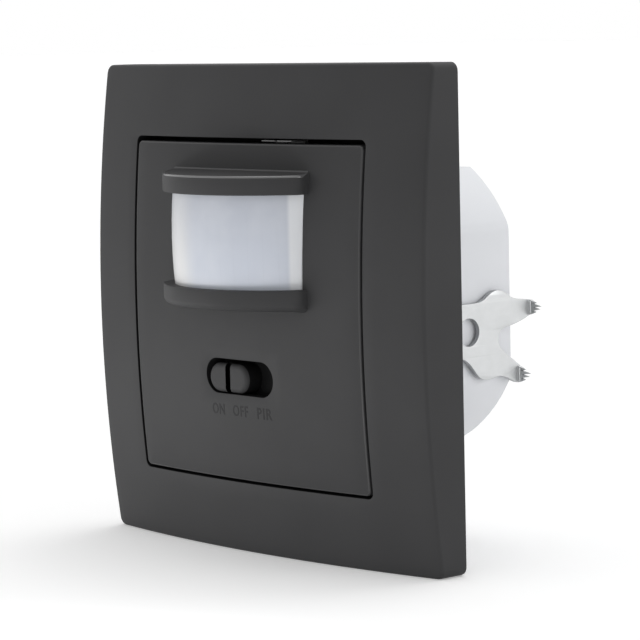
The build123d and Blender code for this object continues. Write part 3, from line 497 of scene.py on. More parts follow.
def pushBack(bm, edges, y):
    made = bmesh.ops.extrude_edge_only(bm, edges=edges)["geom"]
    verts = vertsOf(made)
    for vert in verts:
        vert.co.y = y * mm
    return verts


# Places between two limits, about a step apart
def spread(low, high, step):
    count = max(1, round((high - low) / step))
    return [low + (high - low) * i / count for i in range(1, count)]


frameSizes = {
    "size": 86.0, "corner": 1.5, "wall": 1.8, "frontRound": 0.6, "gridStep": 3.5, "rimStep": 2.6,
    "apertureWidth": 60.4, "apertureLow": -30.3, "apertureHigh": 30.3,
    "apertureCorner": 1.2, "apertureRound": 0.12,
    "ledgeFront": -2.6, "ledgeBack": -1.1, "ledgeReach": 1.8, "ledgeOverlap": 0.5,
}


def buildCoverFrame(sizes):
    halfWidth, low, high = sizes["apertureWidth"] / 2, sizes["apertureLow"], sizes["apertureHigh"]
    half = sizes["size"] / 2
    step, rimStep = sizes["gridStep"], sizes["rimStep"]
    xCuts = [-halfWidth, halfWidth] + spread(-halfWidth, halfWidth, step)
    xCuts += [side * place for side in (-1, 1) for place in spread(halfWidth, half, rimStep)]
    zCuts = [low, high] + spread(low, high, step) + spread(-half, low, rimStep) + spread(high, half, rimStep)
    bm = domedPlate(sizes["size"], -half, half, sizes["corner"], 0.0, xCuts, zCuts)
    roundEdges(bm, frontRim(bm), sizes["frontRound"], 5)
    pushBack(bm, removeFront(bm, -halfWidth, halfWidth, low, high), sizes["ledgeFront"])
    bmesh.ops.recalc_face_normals(bm, faces=bm.faces)
    corners = [e for e in bm.edges if abs(abs(e.verts[0].co.x) - halfWidth * mm) < 1e-6
               and min(abs(e.verts[0].co.z - low * mm), abs(e.verts[0].co.z - high * mm)) < 1e-6
               and runsBack(e, 1.0)]
    roundEdges(bm, corners, sizes["apertureCorner"], 5)
    bm.normal_update()
    reach = (halfWidth + 0.5) * mm

    def inAperture(place):
        return abs(place.x) < reach and abs(place.z) < reach

    rim = [e for e in frontRim(bm) if inAperture(e.verts[0].co) and inAperture(e.verts[1].co)]
    roundEdges(bm, rim, sizes["apertureRound"], 3)
    bm.normal_update()
    # The aperture's walls are black: painted shade of the deep gap round the cover, on a wall that is
    # anthracite
    paint([f for f in bm.faces if abs(f.normal.y) < 0.5 and inAperture(f.calc_center_median())], 1)
    piece = finishPiece("coverFrame", bm, "frame", "anthracite_plastic", ["cover_frame"],
                        materials=[anthracite, blackPlastic])
    giveThickness(piece, sizes["wall"])


# A ledge closes the gap round the cover; its black is painted shade that keeps the gap dark
def buildFrameLedge(sizes):
    bm = bmesh.new()
    overlap = sizes["ledgeOverlap"]
    height = sizes["apertureHigh"] - sizes["apertureLow"]
    addRectangle(bm, sizes["apertureWidth"] + 2 * overlap, height + 2 * overlap)
    bmesh.ops.translate(bm, vec=(0, sizes["ledgeBack"] * mm, 0), verts=bm.verts)
    inner = bm.faces[:]
    bmesh.ops.inset_region(bm, faces=inner, thickness=(sizes["ledgeReach"] + overlap) * mm, use_boundary=True)
    bmesh.ops.delete(bm, geom=inner, context="FACES")
    deepen(bm, sizes["ledgeFront"] - sizes["ledgeBack"])
    finishPiece("frameLedge", bm, "frame", "anthracite_plastic", materials=[blackPlastic])


buildCoverFrame(frameSizes)
buildFrameLedge(frameSizes)
print("cover frame built")


coverSizes = {
    "width": 59.3, "low": -29.82, "high": 29.4, "corner": 1.0, "frontRound": 0.3, "wall": 1.6, "back": -2.7,
    "seatBack": -8.8, "gridStep": 3.0, "windowHalfWidth": 16.8, "windowLow": 4.75, "windowHigh": 21.0,
    "slotLength": 17.6, "slotHeight": 6.2, "slotZ": -11.45, "slotRound": 0.12,
    "slotMargin": 2.2, "slotStep": 2.6,
}


# A ring with straight sides and round ends, facing the front
def addStadium(bm, length, height, x, z, segments=48):
    radius = height / 2
    made = bmesh.ops.create_circle(bm, segments=segments, radius=radius * mm)["verts"]
    bmesh.ops.rotate(bm, cent=(0, 0, 0), matrix=Matrix.Rotation(math.pi / segments, 3, "Z"), verts=made)
    standUp(bm, made)
    for side in (-1, 1):
        bmesh.ops.translate(bm, vec=(side * (length / 2 - radius) * mm, 0, 0),
                            verts=[v for v in made if v.co.x * side > 0])
    bmesh.ops.translate(bm, vec=(x * mm, 0, z * mm), verts=made)
    return made


def buildCentreCover(sizes):
    halfWidth, low, high = sizes["width"] / 2, sizes["low"], sizes["high"]
    window, windowLow, windowHigh = sizes["windowHalfWidth"], sizes["windowLow"], sizes["windowHigh"]
    slotX = sizes["slotLength"] / 2 + sizes["slotMargin"]
    slotLow = sizes["slotZ"] - sizes["slotHeight"] / 2 - sizes["slotMargin"]
    slotHigh = sizes["slotZ"] + sizes["slotHeight"] / 2 + sizes["slotMargin"]
    step, slotStep = sizes["gridStep"], sizes["slotStep"]
    xCuts = [-window, window, -slotX, slotX] + spread(-slotX, slotX, slotStep)
    xCuts += [side * place for side in (-1, 1)
              for place in spread(window, halfWidth, step) + spread(slotX, window, slotStep)]
    zCuts = [windowLow, windowHigh, slotLow, slotHigh]
    for bottom, top in ((low, slotLow), (slotHigh, windowLow), (windowLow, windowHigh), (windowHigh, high)):
        zCuts += spread(bottom, top, step)
    zCuts += spread(slotLow, slotHigh, slotStep)
    bm = domedPlate(sizes["width"], low, high, sizes["corner"], sizes["back"], xCuts, zCuts)
    paint(roundEdges(bm, frontRim(bm), sizes["frontRound"], 4), 2)
    pushBack(bm, removeFront(bm, -window, window, windowLow, windowHigh), sizes["seatBack"])
    rectangle = removeFront(bm, -slotX, slotX, slotLow, slotHigh)
    ring = addStadium(bm, sizes["slotLength"], sizes["slotHeight"], 0, sizes["slotZ"])
    setOnDome(ring)
    bmesh.ops.bridge_loops(bm, edges=rectangle + edgesAmong(ring))
    inward = [e for e in edgesAmong(ring) if e.is_boundary]
    # The slot's walls are black: painted shade of the deep slot
    paint(facesOf(pushBack(bm, inward, sizes["seatBack"])), 1)
    bmesh.ops.recalc_face_normals(bm, faces=bm.faces)
    roundEdges(bm, edgesAmong(ring), sizes["slotRound"], 2)
    piece = finishPiece("centreCover", bm, "cover", "anthracite_plastic", ["centre_cover"],
                        materials=[anthracite, blackPlastic, softEdge])
    giveThickness(piece, sizes["wall"])


buildCentreCover(coverSizes)

# A seat has an outline and a hole, each by its half width, its lowest and its highest point
fittingSizes = {
    "bars": [(5.15, 8.6), (9.2, 12.75)], "barLow": 29.78, "barHigh": 29.98,
    "barFront": -10.2, "barFoot": -7.0, "barBack": -6.2, "footLow": 28.6,
    "clips": [(-4.2, 28.1), (0.7, 28.25)], "clipInner": 26.45, "clipHeight": 20.0, "clipWidth": 8.0,
    "clipBack": 1.4, "edgeRound": 0.15, "seatDepth": 0.8, "seatBack": -8.8, "seatStep": 3.0,
    "seats": [((22.4, -0.25, 26.0), (17.2, 3.65, 22.1)), ((18.0, -17.15, -6.15), (8.8, -14.55, -8.35))],
}


# A seat is a plate behind the dome, with a hole, that the lens or the slider lies against
def addSeat(bm, sizes, outline, hole):
    plate = bmesh.new()
    halfWidth, low, high = outline
    holeHalf, holeLow, holeHigh = hole
    addRectangle(plate, 2 * halfWidth, high - low)
    bmesh.ops.translate(plate, vec=(0, 0, (high + low) / 2 * mm), verts=plate.verts)
    sliceAt(plate, 0, [-holeHalf, holeHalf] + spread(-holeHalf, holeHalf, sizes["seatStep"]))
    sliceAt(plate, 2, [holeLow, holeHigh])
    gone = [f for f in plate.faces
            if insideBox(f.calc_center_median(), -holeHalf, holeHalf, holeLow, holeHigh)]
    bmesh.ops.delete(plate, geom=gone, context="FACES")
    front = plate.verts[:]
    made = bmesh.ops.extrude_face_region(plate, geom=plate.faces[:])["geom"]
    setOnDome(front, sizes["seatDepth"])
    for vert in vertsOf(made):
        vert.co.y = sizes["seatBack"] * mm
    bmesh.ops.recalc_face_normals(plate, faces=plate.faces)
    pourInto(bm, plate)


# What the cover carries: four hooked clips, two bars in the gap above it, whose light grey is painted light
# from the gap, and the two seats
def buildCoverFittings(sizes):
    bm = bmesh.new()
    for side in (-1, 1):
        for level in (-1, 1):
            low = level * sizes["clipHeight"] - sizes["clipWidth"] / 2
            high = low + sizes["clipWidth"]
            for front, outer in sizes["clips"]:
                near, far = sorted((side * sizes["clipInner"], side * outer))
                addBlock(bm, (near, front, low), (far, sizes["clipBack"], high))
    roundEdges(bm, bm.edges[:], sizes["edgeRound"], 2)
    foot, low, high, back = sizes["footLow"], sizes["barLow"], sizes["barHigh"], sizes["barBack"]
    for left, right in sizes["bars"]:
        bar = addBlock(bm, (left, sizes["barFront"], low), (right, back, high))
        bar += addBlock(bm, (left, sizes["barFoot"], foot), (right, back, low))
        paint(facesOf(bar), 1)
    for outline, hole in sizes["seats"]:
        addSeat(bm, sizes, outline, hole)
    finishPiece("coverFittings", bm, "cover", "anthracite_plastic", materials=[anthracite, paleBar])


buildCoverFittings(fittingSizes)
print("centre cover built")


browSizes = {
    "halfWidth": 17.9, "slope": 0.5, "rootY": -10.4, "endRadius": 2.5, "nearRound": 0.25, "sharp": 35.0,
    "steps": 64, "endSteps": 10,
    "upper": {"near": 21.0, "level": 1, "height": 3.3, "radius": 23.3, "axisY": 1.8, "farRound": 0.34},
    "lower": {"near": 4.75, "level": -1, "height": 3.5, "radius": 24.5, "axisY": 3.0, "farRound": 1.2},
}


def edgesAt(bm, axis, place):
    return [e for e in bm.edges if all(abs(v.co[axis] - place * mm) < 1e-7 for v in e.verts)]


def sharpEdges(bm, angle):
    return [e for e in bm.edges if len(e.link_faces) == 2 and e.calc_face_angle(0) > math.radians(angle)]


def spinAbout(bm, geom, centre, angle, steps):
    return bmesh.ops.spin(bm, geom=geom, cent=centre, axis=(0, 0, 1), angle=angle, steps=steps,
                          use_merge=False)["geom_last"]


# A brow is a curved front with rounded ends, and a ruled top and an underside that run back into the cover
def buildBrow(name, sizes, brow):
    bm = bmesh.new()
    near, far = brow["near"], brow["near"] + brow["level"] * brow["height"]
    farRoot = far + brow["level"] * sizes["slope"]
    radius, end = brow["radius"], sizes["endRadius"]
    turn = math.asin((sizes["halfWidth"] - end) / (radius - end))
    axis = Vector((0, brow["axisY"] * mm, 0))
    front = (brow["axisY"] - radius) * mm
    bm.edges.new((bm.verts.new((0, front, near * mm)), bm.verts.new((0, front, far * mm))))
    middle = everything(bm)
    for side in (-1, 1):
        last = spinAbout(bm, middle, axis, side * turn, sizes["steps"] // 2)
        inner = (radius - end) * mm
        centre = axis + Vector((side * inner * math.sin(turn), -inner * math.cos(turn), 0))
        spinAbout(bm, last, centre, side * (math.pi / 2 - turn), sizes["endSteps"])
    bmesh.ops.remove_doubles(bm, verts=bm.verts, dist=1e-6)
    for vert in pushBack(bm, edgesAt(bm, 2, far), sizes["rootY"]):
        vert.co.z = farRoot * mm
    pushBack(bm, edgesAt(bm, 2, near), sizes["rootY"])
    bmesh.ops.bridge_loops(bm, edges=edgesAt(bm, 1, sizes["rootY"]))
    bmesh.ops.holes_fill(bm, edges=[e for e in bm.edges if e.is_boundary])
    bmesh.ops.recalc_face_normals(bm, faces=bm.faces)
    endLines = [e for e in sharpEdges(bm, sizes["sharp"])
                if {round(v.co.z / mm, 3) for v in e.verts} == {round(far, 3), round(farRoot, 3)}]
    farFaces = roundEdges(bm, edgesAt(bm, 2, far) + endLines, brow["farRound"], 6)
    # The upper brow's top edge gets the lighter glossy edge: a painted highlight
    if brow["level"] > 0:
        paint(farFaces, 1)
    bm.normal_update()
    nearReach, rootReach = 0.5 * mm, (sizes["rootY"] - 0.3) * mm
    nearLines = [e for e in sharpEdges(bm, sizes["sharp"])
                 if all(abs(v.co.z - near * mm) < nearReach and v.co.y < rootReach for v in e.verts)]
    roundEdges(bm, nearLines, sizes["nearRound"], 3)
    finishPiece(name, bm, "cover", "anthracite_plastic", materials=[anthracite, smoothEdge])


buildBrow("upperBrow", browSizes, browSizes["upper"])
buildBrow("lowerBrow", browSizes, browSizes["lower"])

rootSizes = {
    "halfWidth": 17.7, "low": 24.64, "high": 24.98, "proud": 0.28, "topProud": 0.01,
    "front": -12.0, "back": -10.5, "step": 1.5,
}


# The small slope along the root of the upper brow's top
def buildBrowRoot(sizes):
    bm = bmesh.new()
    half, front, middle = sizes["halfWidth"], sizes["front"], (sizes["low"] + sizes["high"]) / 2
    addBlock(bm, (-half, front, sizes["low"]), (half, sizes["back"], sizes["high"]))
    sliceAt(bm, 0, spread(-half, half, sizes["step"]))
    nose = [v for v in bm.verts if abs(v.co.y - front * mm) < 1e-7]
    setOnDome([v for v in nose if v.co.z > middle * mm], -sizes["topProud"])
    setOnDome([v for v in nose if v.co.z < middle * mm], -sizes["proud"])
    bmesh.ops.recalc_face_normals(bm, faces=bm.faces)
    finishPiece("upperBrowRoot", bm, "cover", "anthracite_plastic", materials=[softEdge])


buildBrowRoot(rootSizes)
print("brows built")


lensSizes = {
    "radius": 20.7, "axisY": 0.8, "halfWidth": 17.0, "thickness": 0.7, "low": 3.85, "high": 21.9,
    "bulge": 0.42, "sideFade": 2.0, "flangeFront": -8.75, "steps": 72, "rows": 5,
}


def buildLens(sizes):
    bm = bmesh.new()
    halfWidth = sizes["halfWidth"] * mm
    half = math.asin(sizes["halfWidth"] / sizes["radius"])
    front = (sizes["axisY"] - sizes["radius"]) * mm
    bm.edges.new([bm.verts.new((0, front, sizes[end] * mm)) for end in ("low", "high")])
    bmesh.ops.subdivide_edges(bm, edges=bm.edges, cuts=sizes["rows"])
    axis = Vector((0, sizes["axisY"] * mm, 0))
    bmesh.ops.rotate(bm, cent=axis, matrix=Matrix.Rotation(-half, 3, "Z"), verts=bm.verts)
    spinAbout(bm, everything(bm), axis, 2 * half, sizes["steps"])
    bmesh.ops.recalc_face_normals(bm, faces=bm.faces)
    if sum(f.normal.y for f in bm.faces) > 0:  # an open shell may come out facing the back
        bmesh.ops.reverse_faces(bm, faces=bm.faces)
    middle, halfHeight = (sizes["high"] + sizes["low"]) / 2, (sizes["high"] - sizes["low"]) / 2
    for vert in bm.verts:
        outward = (vert.co - axis) * Vector((1, 1, 0))
        side = min(1.0, (halfWidth - abs(vert.co.x)) / (sizes["sideFade"] * mm))
        barrel = 1 - ((vert.co.z / mm - middle) / halfHeight) ** 2
        vert.co += outward.normalized() * sizes["bulge"] * mm * barrel * side
    sides = [e for e in bm.edges
             if e.is_boundary and all(abs(abs(v.co.x) - halfWidth) < 1e-6 for v in e.verts)]
    pushBack(bm, sides, sizes["flangeFront"])
    piece = finishPiece("fresnelLens", bm, "cover", "lens_plastic", ["fresnel_lens"])
    giveThickness(piece, sizes["thickness"])


buildLens(lensSizes)
print("lens built")


knobSizes = {
    "length": 10.4, "height": 5.2, "x": -3.05, "z": -11.8, "recess": 0.12, "edge": 0.9, "rings": 5,
    "topInset": 0.6, "capDepth": 1.0,
    "grooveWidth": 1.3, "grooveDepth": 1.2, "grooveOverlap": 0.05, "grooveEnd": 0.02,
    "sliderHalfLength": 8.5, "sliderHalfHeight": 4.1, "sliderCorner": 1.0,
    "sliderFront": -8.7, "sliderBack": -7.95,
}


def stackRings(bm, rings):
    loops = [edgesAmong(ring) for ring in rings]
    for lower, upper in zip(loops, loops[1:]):
        bmesh.ops.bridge_loops(bm, edges=lower + upper)
    return loops[-1]


# The knob's cap is two rounded halves on a strip that slides behind the slot
def buildKnob(sizes):
    whole = bmesh.new()
    x, z, front = sizes["x"], sizes["z"], sizes["sliderFront"]
    face = domeAt(0, z * mm) / mm + sizes["recess"]
    outlines = [(0, front)]
    for i in range(sizes["rings"] + 1):
        turn = math.pi / 2 * i / sizes["rings"]
        outlines.append((sizes["edge"] * (1 - math.cos(turn)), face + sizes["edge"] * (1 - math.sin(turn))))
    rings = []
    for inset, y in outlines:
        rings.append(addStadium(whole, sizes["length"] - 2 * inset, sizes["height"] - 2 * inset, x, z))
        for vert in rings[-1]:
            vert.co.y = y * mm
    top = bmesh.ops.contextual_create(whole, geom=stackRings(whole, rings))["faces"]
    bmesh.ops.inset_region(whole, faces=top, thickness=sizes["topInset"] * mm)
    bm = bmesh.new()
    for side in (-1, 1):
        half = whole.copy()
        cut = x + side * sizes["grooveWidth"] / 2
        bmesh.ops.bisect_plane(half, geom=everything(half), dist=1e-7, clear_inner=True,
                               plane_co=(cut * mm, 0, 0), plane_no=(side, 0, 0))
        bmesh.ops.holes_fill(half, edges=[e for e in edgesAt(half, 0, cut) if e.is_boundary])
        pourInto(bm, half)
    whole.free()
    grooveHalf = sizes["grooveWidth"] / 2 + sizes["grooveOverlap"]
    grooveHeight = sizes["height"] / 2 - sizes["grooveEnd"]
    addBlock(bm, (x - grooveHalf, face + sizes["grooveDepth"], z - grooveHeight),
             (x + grooveHalf, front, z + grooveHeight))
    bm.normal_update()
    capBack = (face + sizes["capDepth"]) * mm
    cap = {f for f in bm.faces if f.normal.y < -0.45 and f.calc_center_median().y < capBack}
    stripHalf, stripHeight = sizes["sliderHalfLength"], sizes["sliderHalfHeight"]
    strip = addBlock(bm, (x - stripHalf, front, z - stripHeight),
                     (x + stripHalf, sizes["sliderBack"], z + stripHeight))
    roundEdges(bm, [e for e in edgesAmong(strip) if runsBack(e, 0.1)], sizes["sliderCorner"], 4)
    bmesh.ops.recalc_face_normals(bm, faces=bm.faces)
    # All but the cap's face is black: painted shade of the deep slot on the knob's sides and on the strip
    # behind it
    paint([f for f in bm.faces if f not in cap], 1)
    finishPiece("slideKnob", bm, "knob", "anthracite_plastic", ["slide_knob"],
                materials=[anthracite, blackPlastic])


buildKnob(knobSizes)
print("knob built")


letterSizes = {
    "words": [("ON", -7.7, -4.4), ("OFF", -2.1, 1.9), ("PIR", 4.3, 8.1)],
    "low": -18.4, "high": -16.4, "proud": 0.02, "depth": 0.2, "size": 2.4, "weight": 0.035, "spacing": 1.15,
}


def buildLetters(sizes):
    bm = bmesh.new()
    for word, left, right in sizes["words"]:
        curve = bpy.data.curves.new(word, "FONT")
        curve.body, curve.resolution_u = word, 4
        curve.size = sizes["size"] * mm
        curve.space_character = sizes["spacing"]
        curve.offset = sizes["weight"] * mm
        mesh = meshFromCurve(curve)
        part = bmesh.new()
        part.from_mesh(mesh)
        bpy.data.meshes.remove(mesh)
        xs, ys = ([v.co[i] for v in part.verts] for i in (0, 1))
        for vert in part.verts:
            x = left + (vert.co.x - min(xs)) / (max(xs) - min(xs)) * (right - left)
            z = sizes["low"] + (vert.co.y - min(ys)) / (max(ys) - min(ys)) * (sizes["high"] - sizes["low"])
            vert.co = (x * mm, domeAt(x * mm, z * mm) - sizes["proud"] * mm, z * mm)
        deepen(part, sizes["depth"])
        pourInto(bm, part)
    finishPiece("modeLetters", bm, "cover", "anthracite_plastic", materials=[letterInk])


buildLetters(letterSizes)
print("letters built")


# A claw is a sheet star with a tab that is bent inwards to its pivot and its screw, and teeth at its tips
clawSizes = {
    "sheet": 1.0, "inner": 25.5, "edge": 0.09, "strapTop": 0.4, "strapBottom": -9.0, "strapFront": 4.2,
    "outline": [
        (19.3, 0.4), (20.6, 0.46), (22.04, 0.84), (23.26, 1.55), (24.3, 2.1), (25.5, 2.3), (26.9, 2.02),
        (28.1, 1.45), (29.05, 0.85), (30.26, 0.5), (32.2, 0.24), (34.0, 0.02), (34.0, -2.6), (32.2, -3.3),
        (30.2, -3.9), (28.9, -4.2), (27.2, -4.45), (26.1, -5.05), (25.55, -6.2), (25.85, -7.45),
        (26.75, -8.5), (27.9, -9.4), (28.8, -9.95), (30.0, -10.8), (31.0, -11.5), (31.0, -14.55),
        (30.2, -14.5), (29.3, -14.15), (28.5, -13.8), (27.3, -13.3), (25.9, -12.97), (24.8, -13.08),
        (23.6, -13.3), (22.2, -13.3), (21.0, -12.94), (20.05, -12.15), (19.1, -11.05), (17.96, -9.95),
        (16.8, -9.25), (15.4, -9.0),
    ],
    "corners": (0, 11, 12, 24, 25, 39), "window": (18.3, -4.6, 2.45),
    "tabFront": 3.1, "tabInner": 17.6, "tabHole": (23.5, -4.45, 1.95), "bend": 1.2, "bendRound": 1.15,
    "rollRadius": 0.8, "rollY": 3.6, "lip": 0.7, "lipRoot": 0.3, "lipRound": 0.15,
    "tips": [{"end": 34.0, "low": -2.45, "high": -0.15}, {"end": 31.0, "low": -14.3, "high": -11.75}],
    "toothRadius": 0.62, "toothPoint": 0.02, "toothRoot": 0.4, "toothSpread": 5.0,
    "toothLengths": (1.2, 2.35, 2.05, 1.1),
}


def addSheet(bm, outline, corners, hole, sizes):
    curve = bpy.data.curves.new("sheet", "CURVE")
    curve.dimensions, curve.fill_mode, curve.resolution_u = "2D", "BOTH", 4  # a flat plate, both sides closed
    curve.bevel_depth, curve.bevel_resolution = sizes["edge"] * mm, 1
    curve.offset = -sizes["edge"] * mm
    curve.extrude = (sizes["sheet"] / 2 - sizes["edge"]) * mm
    x, y, radius = hole
    turns = [i * math.pi / 6 for i in range(12)]
    ring = [(x + radius * math.cos(turn), y + radius * math.sin(turn)) for turn in turns]
    for points, sharp in ((outline, corners), (ring, ())):
        spline = curve.splines.new("BEZIER")
        spline.bezier_points.add(len(points) - 1)
        spline.use_cyclic_u = True
        for i, (point, place) in enumerate(zip(spline.bezier_points, points)):
            point.co = (place[0] * mm, place[1] * mm, 0)
            point.handle_left_type = point.handle_right_type = "VECTOR" if i in sharp else "AUTO"
    mesh = meshFromCurve(curve)
    before = set(bm.verts)
    bm.from_mesh(mesh)
    bpy.data.meshes.remove(mesh)
    return [v for v in bm.verts if v not in before]


def addTip(bm, sizes, tip):
    outer, root = sizes["inner"] + sizes["sheet"], sizes["toothRoot"]
    lip = addBlock(bm, (outer - sizes["lipRoot"], tip["end"] - sizes["sheet"], tip["low"]),
                   (outer + sizes["lip"], tip["end"], tip["high"]))
    roundEdges(bm, edgesOf(lip), sizes["lipRound"], 2)
    for i, length in enumerate(sizes["toothLengths"]):
        share = (i + 0.5) / len(sizes["toothLengths"])
        cone = bmesh.ops.create_cone(bm, cap_ends=True, segments=4, radius1=sizes["toothRadius"] * mm,
                                     radius2=sizes["toothPoint"] * mm, depth=(length + root) * mm)["verts"]
        lean = math.radians(sizes["toothSpread"] * (2 * share - 1))
        turned = Matrix.Rotation(math.pi / 2 - lean, 3, "Y") @ Matrix.Rotation(math.pi / 4, 3, "Z")
        bmesh.ops.rotate(bm, cent=(0, 0, 0), matrix=turned, verts=cone)
        place = (outer + sizes["lip"] + (length - root) / 2, tip["end"] - sizes["sheet"] / 2,
                 tip["high"] + (tip["low"] - tip["high"]) * share)
        bmesh.ops.translate(bm, vec=Vector(place) * mm, verts=cone)


def buildClaw(name, side, node, sizes):
    bm = bmesh.new()
    strapFront, top, bottom = sizes["strapFront"], sizes["strapTop"], sizes["strapBottom"]
    outline = [(strapFront, top), *sizes["outline"], (strapFront, bottom)]
    corners = [0, len(outline) - 1] + [i + 1 for i in sizes["corners"]]
    outer, half = sizes["inner"] + sizes["sheet"], sizes["sheet"] / 2
    for vert in addSheet(bm, outline, corners, sizes["window"], sizes):
        y, z, depth = vert.co
        vert.co = (depth + (sizes["inner"] + half) * mm, y, z)
    tabFront, tabInner, tabEnd = sizes["tabFront"], sizes["tabInner"], outer - sizes["bend"]
    tab = [(tabInner, top), (tabEnd, top), (tabEnd, bottom), (tabInner, bottom)]
    for vert in addSheet(bm, tab, range(4), sizes["tabHole"], sizes):
        x, z, depth = vert.co
        vert.co = (x, (tabFront + half) * mm + depth, z)
    bend = addBlock(bm, (tabEnd, tabFront, bottom), (outer, tabFront + sizes["bend"], top))
    corner = Vector((outer, tabFront)) * mm
    edge = [e for e in edgesOf(bend) if all((v.co.xy - corner).length < 1e-7 for v in e.verts)]
    roundEdges(bm, edge, sizes["bendRound"], 8)
    radius = sizes["rollRadius"] * mm
    roll = bmesh.ops.create_cone(bm, cap_ends=True, segments=32, radius1=radius, radius2=radius,
                                 depth=(top - bottom) * mm)["verts"]
    bmesh.ops.translate(bm, vec=Vector((tabInner, sizes["rollY"], (top + bottom) / 2)) * mm, verts=roll)
    for tip in sizes["tips"]:
        addTip(bm, sizes, tip)
    for vert in bm.verts:
        vert.co.x *= side
    bmesh.ops.remove_doubles(bm, verts=bm.verts, dist=1e-7)
    bmesh.ops.recalc_face_normals(bm, faces=bm.faces)
    bm.normal_update()
    # The sheet's edges get the darker zinc: partly the bare cut edge, partly painted shade along the claw's
    # outline
    middles = {f: f.calc_center_median() / mm for f in bm.faces if abs(f.normal.x) < 0.5}
    paint([f for f, middle in middles.items()
           if abs(middle.x) < outer + 0.01 and middle.y > tabFront + sizes["bend"]], 1)
    piece = finishPiece(name, bm, frame["nodes"][node]["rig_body"], "zinc_steel", [node], 50, [zinc, cutZinc])
    keepFlat(piece)


buildClaw("clawRight", 1, "claw_right", clawSizes)
buildClaw("clawLeft", -1, "claw_left", clawSizes)
print("claws built")


# A node whose shape is right is copied, its triangles joined, and its corners softened: width, smooth angle
polishSizes = {
    "housing": (0.25, 24), "rear_cap": (0.2, 24), "support_plate": (0.08, 30), "lens_retainer": (0.1, 30),
    "terminal_block": (0.12, 30),
    "claw_screw_right": (0.1, 30), "claw_screw_left": (0.1, 30), "plate_screws": (0.1, 30),
    "main_board_screws": (0.08, 30), "pyro_can": (0.15, 24), "light_sensor": (0.2, 24),
    "time_trimmer": (0.1, 30), "lux_trimmer": (0.1, 30), "time_rotor": (0.06, 30), "lux_rotor": (0.06, 30),
    "control_chip": (0.05, 30), "switch_shell": (0.1, 30), "board_link": (0.05, 30),
    "sensor_board": (0.05, 30),
}


def pieceName(node):
    first, *others = node.split("_")
    return first + "".join(word.capitalize() for word in others) + "Finished"


def polishNode(node, width, sharpAngle):
    bm = bmesh.new()
    bm.from_mesh(frame["nodes"][node].data)
    bmesh.ops.remove_doubles(bm, verts=bm.verts, dist=1e-6)
    bmesh.ops.dissolve_limit(bm, angle_limit=math.radians(0.8), use_dissolve_boundaries=False,
                             verts=bm.verts, edges=bm.edges)
    body = frame["nodes"][node]["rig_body"]
    piece = finishPiece(pieceName(node), bm, body, nodeSlots[node], [node], sharpAngle)
    soft = piece.modifiers.new("softCorners", "BEVEL")
    soft.width = width * mm
    soft.segments = 2
    soft.limit_method = "ANGLE"
    soft.angle_limit = math.radians(40)
    keepFlat(piece)


for nodeName, (width, sharpAngle) in polishSizes.items():
    polishNode(nodeName, width, sharpAngle)
print("nodes polished")


cameraSizes = {
    "azimuth": 47.70, "elevation": 5.77, "roll": -1.30, "target": (7.87, 0.0, -1.91),
    "distance": 516.3, "lens": 165.8,
}


def outwards(azimuth, elevation):
    return Vector((math.sin(azimuth) * math.cos(elevation), -math.cos(azimuth) * math.cos(elevation),
                   math.sin(elevation)))


def placeCamera(sizes):
    azimuth, elevation, roll = (math.radians(sizes[k]) for k in ("azimuth", "elevation", "roll"))
    back = outwards(azimuth, elevation)
    right = Vector((math.cos(azimuth), math.sin(azimuth), 0))
    up = back.cross(right)
    turnedRight = math.cos(roll) * right + math.sin(roll) * up
    turnedUp = math.cos(roll) * up - math.sin(roll) * right
    data = bpy.data.cameras.new("camera")
    data.sensor_width = 36
    data.lens = sizes["lens"]
    data.clip_start, data.clip_end = 0.01, 100
    camera = bpy.data.objects.new("camera", data)
    place = Vector(sizes["target"]) * mm + back * sizes["distance"] * mm
    turn = Matrix((turnedRight, turnedUp, back)).transposed().to_4x4()
    camera.matrix_world = Matrix.Translation(place) @ turn
    scene.collection.objects.link(camera)
    scene.camera = camera


placeCamera(cameraSizes)


# A sun has an azimuth, an elevation, a strength and an angle
# A panel has an azimuth, a distance, a height, a width, an upright size and a power
lightSizes = {
    "floorZ": -0.04302, "floorSize": 8.0, "worldStrength": 0.50, "floorGlow": 0.23, "panelAim": (0, 0, -0.01),
    "suns": {"key": (-40.0, 4.0, 0.12, 50.0), "side": (106.0, 8.0, 1.07, 50.0),
             "back": (180.0, 50.0, 0.50, 50.0), "top": (-115.0, 76.0, 0.6, 44.0)},
    "panels": {"leftPanel": (-42.0, 0.13, -0.034, 0.10, 0.016, 0.033),
               "rightPanel": (25.0, 0.10, -0.036, 0.06, 0.012, 0.014)},
}


def addLight(name, kind, strength, towards):
    data = bpy.data.lights.new(name, kind)
    data.energy = strength
    light = bpy.data.objects.new(name, data)
    light.rotation_euler = towards.to_track_quat("Z", "Y").to_euler()
    scene.collection.objects.link(light)
    return light


def addSun(name, azimuth, elevation, strength, angle):
    towards = outwards(math.radians(azimuth), math.radians(elevation))
    sun = addLight(name, "SUN", strength, towards)
    sun.data.angle = math.radians(angle)


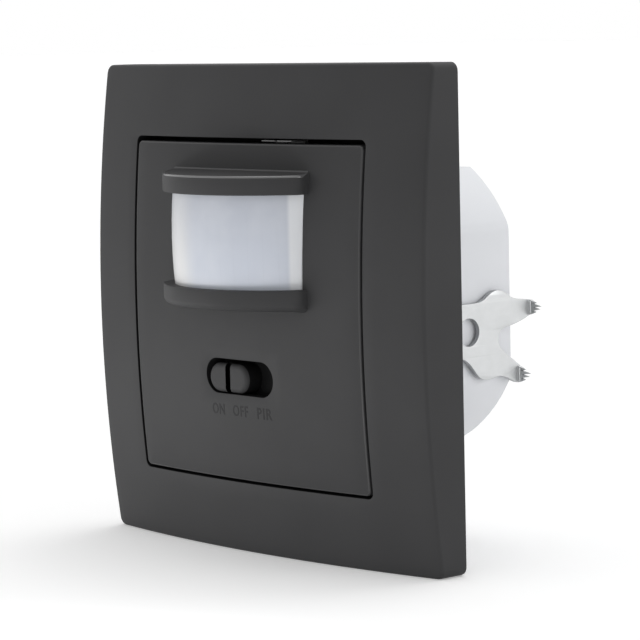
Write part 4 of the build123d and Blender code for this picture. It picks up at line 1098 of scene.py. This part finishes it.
# Low panels close to the front lift its foot
def addPanel(name, aim, azimuth, distance, height, width, tall, power):
    place = outwards(math.radians(azimuth), 0) * distance + Vector((0, 0, height))
    panel = addLight(name, "AREA", power, place - Vector(aim))
    panel.data.shape, panel.data.size, panel.data.size_y = "RECTANGLE", width, tall
    panel.location = place
    panel.visible_camera = False


# One for the rays that show the background: straight from the camera, or by way of metal and glass
def seenWhite(signal):
    camera, glossy, through = (signal.make("ShaderNodeLightPath", output=f"Is {kind} Ray")
                               for kind in ("Camera", "Glossy", "Transmission"))
    return signal.maths("MINIMUM", camera + glossy + through, 1.0)


def setStage(sizes):
    world = bpy.data.worlds.new("studio")
    world.use_nodes = True
    world.node_tree.nodes.clear()
    signal = Signal(world.node_tree)
    strength = seenWhite(signal) * (1.0 - sizes["worldStrength"]) + sizes["worldStrength"]
    shade = signal.make("ShaderNodeBackground", {}, {"Color": (1, 1, 1, 1), "Strength": strength})
    signal.make("ShaderNodeOutputWorld", {}, {"Surface": shade})
    scene.world = world
    material, signal = startMaterial("paleFloor")
    diffuse = signal.make("ShaderNodeBsdfDiffuse", {}, {"Color": (0.92, 0.92, 0.92, 1)})
    strength = seenWhite(signal) * sizes["floorGlow"]
    glow = signal.make("ShaderNodeEmission", {}, {"Color": (1, 1, 1, 1), "Strength": strength})
    both = signal.make("ShaderNodeAddShader", {}, {0: diffuse, 1: glow})
    signal.make("ShaderNodeOutputMaterial", {}, {"Surface": both})
    bm = bmesh.new()
    bmesh.ops.create_grid(bm, x_segments=1, y_segments=1, size=sizes["floorSize"])
    bmesh.ops.translate(bm, vec=(0, 0, sizes["floorZ"]), verts=bm.verts)
    mesh = bpy.data.meshes.new("floor")
    bm.to_mesh(mesh)
    bm.free()
    mesh.materials.append(material)
    floor = bpy.data.objects.new("floor", mesh)
    scene.collection.objects.link(floor)
    for name, values in sizes["suns"].items():
        addSun(name, *values)
    for name, values in sizes["panels"].items():
        addPanel(name, sizes["panelAim"], *values)


setStage(lightSizes)
print("stage set")
